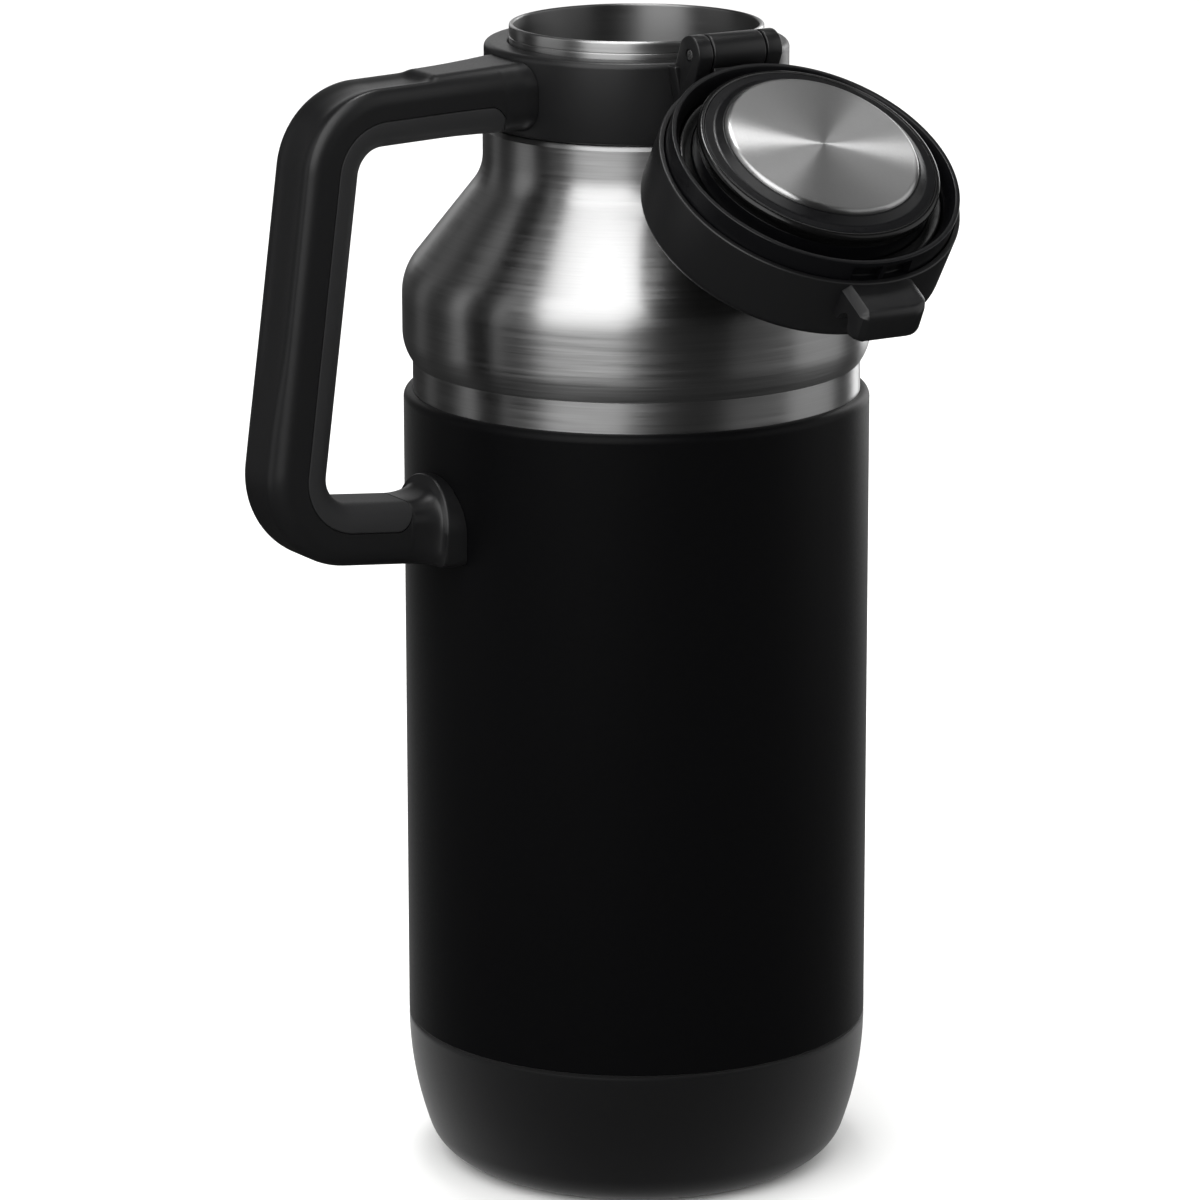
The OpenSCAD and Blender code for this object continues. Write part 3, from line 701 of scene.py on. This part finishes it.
class GROWLER_OT_collar(bpy.types.Operator):
    """Builds the collar with its hinge ears, and the hinge pin"""

    bl_idname = "growler.collar"
    bl_label = "Collar and hinge"

    def execute(self, context):
        c = sizes("collar")
        b = sizes("body")
        hinge_y = HINGE["pos_m"][1] / MM
        hinge_z = HINGE["pos_m"][2] / MM
        inner = c.radius - 3.4
        flange = b.mouth_r + 1.5
        ring = rounded([
            (inner, c.low, 0.3), (c.radius, c.low, 0.6), (c.radius, c.high, c.edge),
            (flange, c.high, 0.5), (flange, c.high - 2.6, 0.2), (inner, c.high - 2.6, 0.2),
        ], count=6)
        collar = lathe("collar_piece", ring)
        front = -(c.radius + 1.5)
        pad = bar_across("pad", [
            (-c.pad_half + 2, c.high - 11.5), (c.pad_half - 2, c.high - 11.5),
            (c.pad_half, c.high - 0.4), (-c.pad_half, c.high - 0.4),
        ], front, -(c.radius - 2.2))
        ear_x = c.middle / 2 + c.gap
        web = arc(hinge_y, hinge_z, c.knuckle_r, 30, 180, 24) + [
            (hinge_y - c.knuckle_r, hinge_z - 0.6), (hinge_y - c.knuckle_r + 2.6, hinge_z - 7),
            (front + 0.5, hinge_z - 13.8), (-c.radius + 1.5, hinge_z - 13.8),
            (-c.radius + 1.5, c.high - 1.6),
        ]
        ears = [
            bar("ear", web, x, x + c.ear, 0.45) for x in (-ear_x - c.ear, ear_x)
        ]
        # a low rib opposite the hinge
        rib = as_object("rib", turned(
            rounded([(c.radius - 1.7, c.high - 1.8), (c.radius - 0.25, c.high - 1.8),
                     (c.radius - 0.25, c.high + 2.2, 0.5), (c.radius - 1.7, c.high + 2.2, 0.4)]),
            segments=24, start=78, sweep=24))
        combine(collar, [pad, *ears, rib], "UNION")
        clear = bar("clear", arc(hinge_y, hinge_z, c.knuckle_r + 0.4, 0, 360, 48)[:-1],
                    -ear_x, ear_x, 0)
        combine(collar, [clear, pin_bore()], "DIFFERENCE")
        fit(collar, moulded_plastic(), "bottle", "collar", "collar")

        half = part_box("hinge_pin")[1].x / MM
        pin = rounded(
            [(0, -half), (c.pin_r, -half, 0.4), (c.pin_r, half, 0.4), (0, half)], count=5)
        pin = lathe("pin_piece", pin, segments=48)
        pin.data.transform(Matrix.Translation(Vector(HINGE["pos_m"])) @ Matrix.Rotation(
            math.pi / 2, 4, "Y"))
        fit(pin, polished_steel(), "bottle", "steel_hardware", "hinge_pin")
        return {"FINISHED"}


def pin_bore():
    """A cutter for the hole that the hinge pin lies in."""
    c = sizes("collar")
    place = [v / MM for v in HINGE["pos_m"]]
    reach = c.middle / 2 + c.gap + c.ear + 1
    return bar("bore", arc(place[1], place[2], c.pin_r + 0.06, 0, 360, 32)[:-1], -reach, reach, 0)


def bar_across(name, outline, y0, y1, bevel=0.5):
    """A bar along Y: an outline of (x, z) between two places, with rounded edges."""
    made = bar(name, outline, y0, y1, bevel)
    swap = Matrix(((0, 1, 0, 0), (1, 0, 0, 0), (0, 0, 1, 0), (0, 0, 0, 1)))
    made.data.transform(swap)
    made.data.flip_normals()
    return made


# Handle ---------------------------------------------------------------------------------


# the handle's middle line and its two ends, in millimetres
ARM_DROP = 10.1  # the upper arm's start below the collar's top
UPPER_ARM_FALL = 1.8  # its fall from there to the upper corner
PAD_DROP = 29.5  # the pad's middle below the sleeve's top
LOWER_ARM_RISE = 4.4  # the lower corner above the pad's middle
GRIP_TOP_OUT = 30.5  # the upper corner outside the sleeve
GRIP_LOW_OUT = 44.0  # the lower corner outside the sleeve
END_GAP = 0.15  # play at the collar and at the sleeve
INLAY_FROM = 43.8  # where the inlay starts on the upper arm, from the bottle's axis
INLAY_TO = 71.3  # where it ends on the lower arm, from the bottle's axis
INLAY_ROUND = 4.2  # length of the inlay's rounded ends
INLAY_GAP = 0.14  # half of the groove round the inlay
INLAY_POINTS = 12  # points across half of the inlay
FRAME_POINTS = 30  # points across half of the frame's bare part


def skin(shape, side):
    """Point of a section's outline at a length along it from the middle of its inner side.

    shape holds the inner and outer sides' places, the half width and the corner radii.
    """
    low, high, half, r_in, r_out = shape
    flat_in = half - r_in
    turn_in = r_in * math.pi / 2
    wall = high - low - r_in - r_out
    turn_out = r_out * math.pi / 2
    if side < flat_in:
        return low, side, (-1, 0)
    side -= flat_in
    if side < turn_in:
        a = side / r_in
        return (low + r_in * (1 - math.cos(a)), flat_in + r_in * math.sin(a),
                (-math.cos(a), math.sin(a)))
    side -= turn_in
    if side < wall:
        return low + r_in + side, half, (0, 1)
    side -= wall
    if side < turn_out:
        a = side / r_out
        return (high - r_out * (1 - math.sin(a)), half - r_out * (1 - math.cos(a)),
                (math.sin(a), math.cos(a)))
    side -= turn_out
    return high, max(0.0, half - r_out - side), (1, 0)


def girth(shape):
    """Length of half of a section's outline."""
    low, high, half, r_in, r_out = shape
    return half - r_in + r_in * math.pi / 2 + high - low - r_in - r_out + (
        r_out * math.pi / 2 + half - r_out)


def seam_length(shape, seam):
    """Length along the outline at which a section reaches the seam's place."""
    low, _high, half, r_in, _r_out = shape
    rise = seam - low
    if rise >= r_in:
        return half - r_in + r_in * math.pi / 2 + rise - r_in
    return half - r_in + r_in * math.acos(max(-1.0, 1 - max(0.0, rise) / r_in))


def handle_path(h):
    """Places along the handle's middle line: point, heading and distance from the start."""
    b = sizes("body")
    c = sizes("collar")
    arm_z = c.high - ARM_DROP
    pad_z = b.sleeve_top - PAD_DROP
    a = Vector((c.radius + END_GAP, arm_z))
    corner_b = Vector((b.sleeve_r + GRIP_TOP_OUT, arm_z - UPPER_ARM_FALL))
    corner_c = Vector((b.sleeve_r + GRIP_LOW_OUT, pad_z + LOWER_ARM_RISE))
    d = Vector((b.sleeve_r + END_GAP, pad_z))
    points = [a, corner_b, corner_c, d]
    heads = [math.atan2(q.y - p.y, q.x - p.x) for p, q in zip(points, points[1:])]
    if heads[2] > 0:
        heads[2] -= 2 * math.pi
    stations = []

    def straight(p, q, head, pitch):
        count = max(2, round((q - p).length / pitch))
        for i in range(count):
            stations.append((p.lerp(q, i / count), head))

    here = a
    for corner, one, two in ((corner_b, heads[0], heads[1]), (corner_c, heads[1], heads[2])):
        cut = h.bend * math.tan((one - two) / 2)
        start = corner - cut * Vector((math.cos(one), math.sin(one)))
        straight(here, start, one, 0.8)
        centre = start + h.bend * Vector((math.sin(one), -math.cos(one)))
        for i in range(24):
            t = one + (two - one) * i / 24
            stations.append((centre + h.bend * Vector((-math.sin(t), math.cos(t))), t))
        here = centre + h.bend * Vector((-math.sin(two), math.cos(two)))
    straight(here, d, heads[2], 0.4)
    stations.append((d, heads[2]))
    out = []
    run = 0
    for i, (p, head) in enumerate(stations):
        if i:
            run += (p - stations[i - 1][0]).length
        out.append((p, head, run))
    return out


def smooth(t):
    """Eases from 0 to 1 as t goes from 0 to 1."""
    t = min(1.0, max(0.0, t))
    return t * t * (3 - 2 * t)


def blend_shapes(one, two, t):
    """A section between two others, a share t of the way."""
    return tuple(x + (y - x) * t for x, y in zip(one, two))


def handle_shape(h, place, upper):
    """The section's outline at a place: the arm's own, widened at the collar and the pad."""
    b = sizes("body")
    c = sizes("collar")
    half_t = h.thick / 2
    arm = (-half_t, half_t, h.wide / 2, h.edge, h.edge)
    if upper:
        wide = (-8.7, 8.5, 12.8, 6.2, 6.2)
        flare = 22
        t = 1 - min(1.0, max(0.0, (place.x - c.radius) / flare))
        return blend_shapes(arm, wide, t**1.7)
    x = (place.x - b.sleeve_r - h.pad_t) / h.flare
    pad = (-h.pad_r, half_t, h.pad_r, h.pad_r - 0.4, 2.2)
    if x <= 0:
        # the rim's front edge is broken by a small rounding
        soft = 0.7
        inset = 0.0
        if x * h.flare > -soft:
            inset = soft - math.sqrt(max(0.0, soft**2 - (soft + x * h.flare) ** 2))
        return (pad[0] + inset, pad[1], pad[2] - inset, pad[3] - inset, pad[4])
    neck_r = 0.93 * h.pad_r  # where the flare meets the pad
    near = (-neck_r, half_t, neck_r, neck_r - 0.4, 3)
    t = 1 - math.sqrt(max(0.0, 1 - (1 - min(1.0, x)) ** 2))
    return blend_shapes(arm, near, t)


def inlay_seam(h, run, first, last):
    """Where the inlay's seam lies at a distance along the handle, or None outside it."""
    if run < first or run > last:
        return None
    edge = min(run - first, last - run)
    seam = -1.0
    if edge < INLAY_ROUND:
        depth = h.thick / 2 - 1
        seam -= depth * (1 - math.sqrt(max(0.0, 1 - (1 - edge / INLAY_ROUND) ** 2)))
    return seam


def put(place, head, u, v):
    """A section's point in the row frame, in millimetres."""
    return (-(place.x - u * math.sin(head)), v, place.y + u * math.cos(head))


def loft(name, rings):
    """A closed object through rings that have the same number of points."""
    bm = bmesh.new()
    made = [[bm.verts.new(p) for p in ring] for ring in rings]
    n = len(rings[0])
    for one, two in zip(made, made[1:]):
        for i in range(n):
            bm.faces.new((one[i], one[(i + 1) % n], two[(i + 1) % n], two[i]))
    bm.faces.new(made[0])
    bm.faces.new(reversed(made[-1]))
    return as_object(name, bm, sharp=40)


def frame_section(h, place, shape, edge, depth):
    """The frame's outline at a place, sunk by depth under the inlay and scooped outside."""
    half = []
    for i in range(INLAY_POINTS):
        u, v, n = skin(shape, edge * i / (INLAY_POINTS - 1))
        half.append((u - n[0] * depth, v - n[1] * depth))
    rest = girth(shape) - edge
    for i in range(FRAME_POINTS):
        # the first of these lies just beyond the seam, so the step is nearly upright
        u, v, _n = skin(shape, edge + rest * (i + 0.02) / (FRAME_POINTS - 0.98))
        half.append((u - scoop_depth(h, place, v, u, shape), v))
    # both halves start at the same point, so the other half's is dropped
    return half + [(u, -v) for u, v in half[:0:-1]]


def inlay_section(shape, end):
    """The inlay's outline: its face with a softly rounded edge, and its underside."""
    soft = 0.35
    under = 0.58
    face = []
    for i in range(INLAY_POINTS):
        face.append((*skin(shape, (end - soft) * i / (INLAY_POINTS - 1)), 0.0))
    for i in range(1, 5):
        a = math.radians(90 * i / 4)
        face.append((*skin(shape, end - soft + soft * math.sin(a)), soft * (1 - math.cos(a))))
    half = [(u - n[0] * d, v - n[1] * d) for u, v, n, d in face]
    inside = []
    for i in range(INLAY_POINTS):
        u, v, n = skin(shape, end * (1 - i / (INLAY_POINTS - 1)))
        inside.append((u - n[0] * under, v - n[1] * under))
    ring = [(u, -v) for u, v in half[:0:-1]] + half
    return ring + inside + [(u, -v) for u, v in inside[-2::-1]]


class GROWLER_OT_handle(bpy.types.Operator):
    """Builds the handle's frame and its soft inlay"""

    bl_idname = "growler.handle"
    bl_label = "Handle"

    def execute(self, context):
        h = sizes("handle")
        b = sizes("body")
        c = sizes("collar")
        path = handle_path(h)
        full = path[-1][2]
        first = INLAY_FROM - c.radius
        last = full - (INLAY_TO - b.sleeve_r) + 0.5
        rings = []
        grip = []
        for place, head, run in path:
            shape = handle_shape(h, place, run < full / 2)
            seam = inlay_seam(h, run, first, last)
            has = seam is not None
            edge = seam_length(shape, (seam if has else -h.thick / 2) + INLAY_GAP)
            ring = frame_section(h, place, shape, edge, h.inlay_step if has else 0.0)
            points = [put(place, head, u, v) for u, v in ring]
            rings.append([
                saddle(p, run, full, c.radius + END_GAP, b.sleeve_r + END_GAP) for p in points
            ])
            if has:
                ring = inlay_section(shape, edge - 2 * INLAY_GAP)
                grip.append([put(place, head, u, v) for u, v in ring])
        frame_piece = loft("handle_frame_piece", rings)
        fit(frame_piece, moulded_plastic(), "bottle", "handle", "handle_frame")
        fit(loft("handle_inlay_piece", grip), soft_grip(), "bottle", "handle_inlay",
            "handle_inlay")
        dress("handle_bracket", inner_steel())
        dress("handle_screws", polished_steel())
        return {"FINISHED"}


def saddle(point, run, full, collar_r, sleeve_r):
    """Draws the points at the handle's two ends onto the round bodies that they sit on."""
    _x, y, z = point
    for near, radius in ((run, collar_r), (full - run, sleeve_r)):
        if near < 1e-6:
            return (-math.sqrt(max(0.0, radius**2 - y**2)), y, z)
    return point


def scoop_depth(h, place, v, u, shape):
    """Depth of the hollow that starts as a thumb scoop and runs down the outer face."""
    b = sizes("body")
    outer = smooth((u - shape[1] + 2.5) / 2.5)
    begin = smooth((place.x - b.sleeve_r - 2) / 3)
    end = smooth((place.y - b.sleeve_top + 4) / 30)
    past = smooth((place.x - b.sleeve_r - 16) / 14)
    across = max(0.0, 1 - abs(v / 8.2) ** 3)
    return h.scoop * (1 - 0.45 * past) * begin * end * across * outer


# Lid ------------------------------------------------------------------------------------


GASKET_BITE = 1.6  # width of the plug gasket, from its edge to its seat, in millimetres


class GROWLER_OT_lid(bpy.types.Operator):
    """Builds the lid's shell with its knuckle and lift tab, and its liner"""

    bl_idname = "growler.lid"
    bl_label = "Lid"

    def execute(self, context):
        d = sizes("lid")
        c = sizes("collar")
        hinge_y = HINGE["pos_m"][1] / MM
        hinge_z = HINGE["pos_m"][2] / MM
        inner = d.radius - d.wall
        roof = d.top - 2.2
        outline = [(0, d.top), (0, roof), (inner, roof)] + rounded([
            (inner, roof), (inner, d.rim, 0.35), (d.radius, d.rim, 0.45), (d.radius, d.top - 3),
        ], count=5, closed=False)[1:-1]
        outline += arc(d.radius - 3, d.top - 3, 3, 0, 90, 16)
        shell = lathe("lid_shell_piece", outline)

        knuckle = arc(hinge_y, hinge_z, c.knuckle_r, 0, 360, 48)[:-1]
        middle = bar("middle", knuckle, -c.middle / 2, c.middle / 2, 0.7, 4)
        arm = bar("arm", [
            (-d.radius + 0.8, d.rim), (-d.radius + 0.8, d.rim + 7.5),
            (-d.radius - 0.4, d.rim + 6.9), (hinge_y - 1.7, hinge_z + 4.4), (hinge_y, hinge_z),
            (hinge_y + c.knuckle_r - 0.2, hinge_z + 0.5),
        ], -c.middle / 2 + 0.5, c.middle / 2 - 0.5, 0.4)
        combine(shell, [middle, arm, lift_tab(d)], "UNION")
        combine(shell, [pin_bore()], "DIFFERENCE")
        shell.data.transform(opening())
        fit(shell, moulded_plastic(), "lid", "lid_shell", "lid_shell")

        channel = d.plug + 9.3
        wall_in = d.plug_r - 2
        bite = d.gasket_r - GASKET_BITE
        top = d.plug + 3.7
        liner = [
            (d.ring_in + 0.5, d.ring_low + 2.6, 1.2), (d.ring_r - 1.2, d.ring_low, 0.35),
            (d.ring_r, d.ring_low, 0.35), (d.ring_r, roof, 0),
            (d.ring_r - 2, roof, 0), (d.ring_r - 2, channel + 2, 0), (wall_in, channel + 2, 0),
            (wall_in, d.plug + 2, 0), (0, d.plug + 2), (0, d.plug - 1.5),
            (d.disc_r + 0.5, d.plug - 1.5, 0.3), (d.disc_r + 2.3, d.plug - 0.1, 1.6),
            (bite, d.plug, 0.15),
            (bite, top, 0.1), (d.plug_r, top, 0.2), (d.plug_r, channel, 0.5),
            (d.ring_in, channel, 0.5),
        ]
        ring = lathe("lid_liner_piece", rounded(liner, count=5))
        pocket = [
            as_object("pocket", turned(
                rounded([(d.ring_r - 1.9, d.rim - 3.7, 0.7), (d.ring_r + 1, d.rim - 3.9, 0.1),
                         (d.ring_r + 1, d.rim + 0.3, 0.1), (d.ring_r - 1.9, d.rim + 0.3, 0.5)]),
                segments=16, start=start, sweep=12.2))
            for start in (76.8, 91.0)
        ]
        combine(ring, pocket, "DIFFERENCE")
        ring.data.transform(opening())
        fit(ring, polished_plastic(), "lid", "lid_liner", "lid_liner")
        dress("lid_insulation", rigid_foam())
        return {"FINISHED"}


def lift_tab(d):
    """The lift tab: a plate flush with the rim, a bead along its end and a finger groove."""
    face = d.rim + 0.3
    side = d.radius
    reach = 10.9  # of the bead's far side
    outline = (
        [(side - 2.5, face), (side + 4, face)]
        + arc(side + 7.6, face + 2.6, 2.6, -90, 0, 8)
        + arc(side + 8.3, face + 6.4, 2.4, 0, 170, 10)
        + [(side + 5.2, face + 5.6), (side + 4, face + 5.2), (side + 2.8, face + 5.6),
           (side + 1.6, face + 6.8), (side + 0.6, face + 9), (side - 2.5, face + 9.2)]
    )
    half = d.tab / 2
    # the end at -X is bevelled, and the corner at the other end is a broad round: place along
    # the tab, how much its reach is cut short and how far its face is cut back
    ends = [(-half, 2.2, 1.9), (-half + 0.25, 1.2, 1.65), (-half + 1.45, 0.15, 0.25),
            (-half + 1.8, 0.0, 0.0)]
    corner = 5
    for turn in (0, 15, 30, 45, 60, 72, 82):
        a = math.radians(turn)
        ends.append((half - 1.6 - corner * (1 - math.sin(a)), corner * (1 - math.cos(a)),
                     0.6 * max(0.0, turn / 45 - 1)))
    rings = []
    for x, short, back in ends:
        rings.append([
            (x, side + (y - side) * (1 - short / reach) if y > side else y, max(z, face + back))
            for y, z in outline
        ])
    return loft("tab", rings)


class GROWLER_OT_seals(bpy.types.Operator):
    """Builds the steel disc in the plug's face and the two gaskets"""

    bl_idname = "growler.seals"
    bl_label = "Disc and gaskets"

    def execute(self, context):
        d = sizes("lid")
        disc = [(0, d.disc_z)] + arc(d.disc_r - 1.2, d.disc_z + 1.2, 1.2, -90, 0, 10)
        disc += [(d.disc_r, d.plug - 1.5), (0, d.plug - 1.5)]
        disc = lathe("disc_piece", disc)
        fit(swung(disc), spun_steel(), "lid", "steel_disc", "lid_disc")
        bite = d.gasket_r - GASKET_BITE
        # a soft lip, rounded below and drawn in above, that presses on the mouth's wall
        seal = [(bite + 0.05, d.plug + 0.15), (bite + 0.2, d.plug)]
        seal += arc(d.gasket_r - 1.1, d.plug + 1.1, 1.1, -90, 15, 10)
        seal += [(d.gasket_r - 0.2, d.plug + 2.2), (d.gasket_r - 0.5, d.plug + 3.5),
                 (bite, d.plug + 3.6)]
        fit(swung(lathe("plug_gasket_piece", seal)), silicone(), "lid", "gasket", "plug_gasket")
        low, high = seat_span()
        flat = [
            (d.plug_r + SEAT_GAP, high), (d.plug_r + SEAT_GAP, low + 0.5, 0.4),
            (d.ring_in - SEAT_GAP, low, 0.6), (d.ring_in - SEAT_GAP, high),
        ]
        fit(swung(lathe("seat_gasket_piece", rounded(flat, count=5))), silicone(), "lid", "gasket",
            "seat_gasket")
        return {"FINISHED"}


def seat_span():
    """Lowest and highest places of the flat gasket as it lies in the closed lid."""
    rim = sizes("body").rim
    return rim + 0.3, rim + 2.3


# Stage ----------------------------------------------------------------------------------


CAMERA_PLACE = (-0.771, -1.253, 0.5218)  # metres
CAMERA_TILT = 75.67  # degrees up from straight down
CAMERA_TURN = -31.6  # degrees round from +Y
LENS = 178.2  # focal length in millimetres
CAMERA_SIDE = 238.4  # direction from the growler to the camera, in degrees round from +X
AIM_HEIGHT = 0.17  # what the lamps point at, on the growler's axis, in metres
# name, turn from the camera's side in degrees (positive to its right), distance and height in
# metres, the lamp's width and height in metres, and its power in watts
LIGHTS = (
    ("key", -26, 1.35, 1.35, 1.55, 2.6, 31),
    ("disc", 138, 1.0, 1.9, 0.3, 0.3, 0.5),
    ("top", -162, 0.45, 2.2, 0.5, 0.5, 12),
    ("back", 172, 1.9, 0.75, 2.6, 0.9, 5),
    ("left", -84, 1.5, 0.6, 0.9, 1.6, 2.2),
    ("side", 62, 1.5, 0.9, 1.0, 1.4, 2),
    ("right", 100, 1.5, 0.6, 1.1, 1.6, 4),
    ("rim_left", -128, 1.5, 0.45, 0.3, 1.2, 0.2),
    ("rim_right", 150, 1.5, 0.45, 0.4, 1.2, 4),
)


class GROWLER_OT_stage(bpy.types.Operator):
    """Lays the floor and sets the lights and the camera"""

    bl_idname = "growler.stage"
    bl_label = "Stage"

    def execute(self, context):
        scene = context.scene
        mesh = bpy.data.meshes.new("floor")
        wide = 9.0  # half of the floor's side, in metres
        mesh.from_pydata(
            [(-wide, -wide, 0), (wide, -wide, 0), (wide, wide, 0), (-wide, wide, 0)], [],
            [(0, 1, 2, 3)],
        )
        floor = bpy.data.objects.new("floor", mesh)
        scene.collection.objects.link(floor)
        # Matt white studio vinyl: even, with a faint mottling
        floor.data.materials.append(
            surface("studio_vinyl_matt_white", linear("#f2f2f1"), 0.8, 60, 0.03, 0.0, tint=0.01)
        )
        floor.visible_glossy = False  # the steel is lit by the lamps, not by the floor

        scene.view_settings.view_transform = "Standard"
        world = bpy.data.worlds.new("studio")
        scene.world = world
        world.use_nodes = True
        tree = world.node_tree
        tree.nodes.clear()
        path = node(tree, "ShaderNodeLightPath")
        bright = node(tree, "ShaderNodeBackground", {"Color": (1, 1, 1, 1), "Strength": 0.95})
        dim = node(tree, "ShaderNodeBackground", {"Color": (1, 1, 1, 1), "Strength": 0.03})
        mixed = node(tree, "ShaderNodeMixShader", {
            0: path.outputs["Is Glossy Ray"], 1: bright.outputs[0], 2: dim.outputs[0]})
        node(tree, "ShaderNodeOutputWorld", {"Surface": mixed.outputs[0]})

        for name, turn, away, up, wide, tall, power in LIGHTS:
            lamp = bpy.data.lights.new(name, "AREA")
            lamp.shape = "RECTANGLE"
            lamp.size = wide
            lamp.size_y = tall
            lamp.energy = power
            lit = bpy.data.objects.new(name, lamp)
            scene.collection.objects.link(lit)
            toward = math.radians(CAMERA_SIDE + turn)
            lit.location = (away * math.cos(toward), away * math.sin(toward), up)
            aim = Vector((0, 0, AIM_HEIGHT)) - lit.location
            lit.rotation_euler = aim.to_track_quat("-Z", "Y").to_euler()

        lens = bpy.data.cameras.new("camera")
        lens.lens = LENS
        lens.sensor_width = 36
        lens.shift_x = -0.03
        lens.clip_end = 50
        camera = bpy.data.objects.new("camera", lens)
        camera.location = CAMERA_PLACE
        camera.rotation_euler = (math.radians(CAMERA_TILT), 0, math.radians(CAMERA_TURN))
        scene.collection.objects.link(camera)
        scene.camera = camera
        return {"FINISHED"}


# Panel and running ----------------------------------------------------------------------


OPERATORS = (
    GROWLER_OT_body,
    GROWLER_OT_collar,
    GROWLER_OT_handle,
    GROWLER_OT_lid,
    GROWLER_OT_seals,
    GROWLER_OT_stage,
)


class GROWLER_PT_panel(bpy.types.Panel):
    """Lists the growler's pieces and their sizes."""

    bl_idname = "GROWLER_PT_panel"
    bl_label = "Growler"
    bl_space_type = "VIEW_3D"
    bl_region_type = "UI"
    bl_category = "Growler"

    def draw(self, context):
        for operator in OPERATORS:
            self.layout.operator(operator.bl_idname)
        for name, group in GROUPS.items():
            box = self.layout.box()
            for value in group.__annotations__:
                box.prop(getattr(context.scene, name), value)


CLASSES = (*GROUPS.values(), *OPERATORS, GROWLER_PT_panel)


def register():
    for each in CLASSES:
        bpy.utils.register_class(each)
    for name, group in GROUPS.items():
        setattr(bpy.types.Scene, name, bpy.props.PointerProperty(type=group))


def unregister():
    for name in GROUPS:
        delattr(bpy.types.Scene, name)
    for each in reversed(CLASSES):
        bpy.utils.unregister_class(each)


def main():
    register()
    for operator in OPERATORS:
        group, name = operator.bl_idname.split(".")
        getattr(getattr(bpy.ops, group), name)()


if __name__ == "__main__":
    main()
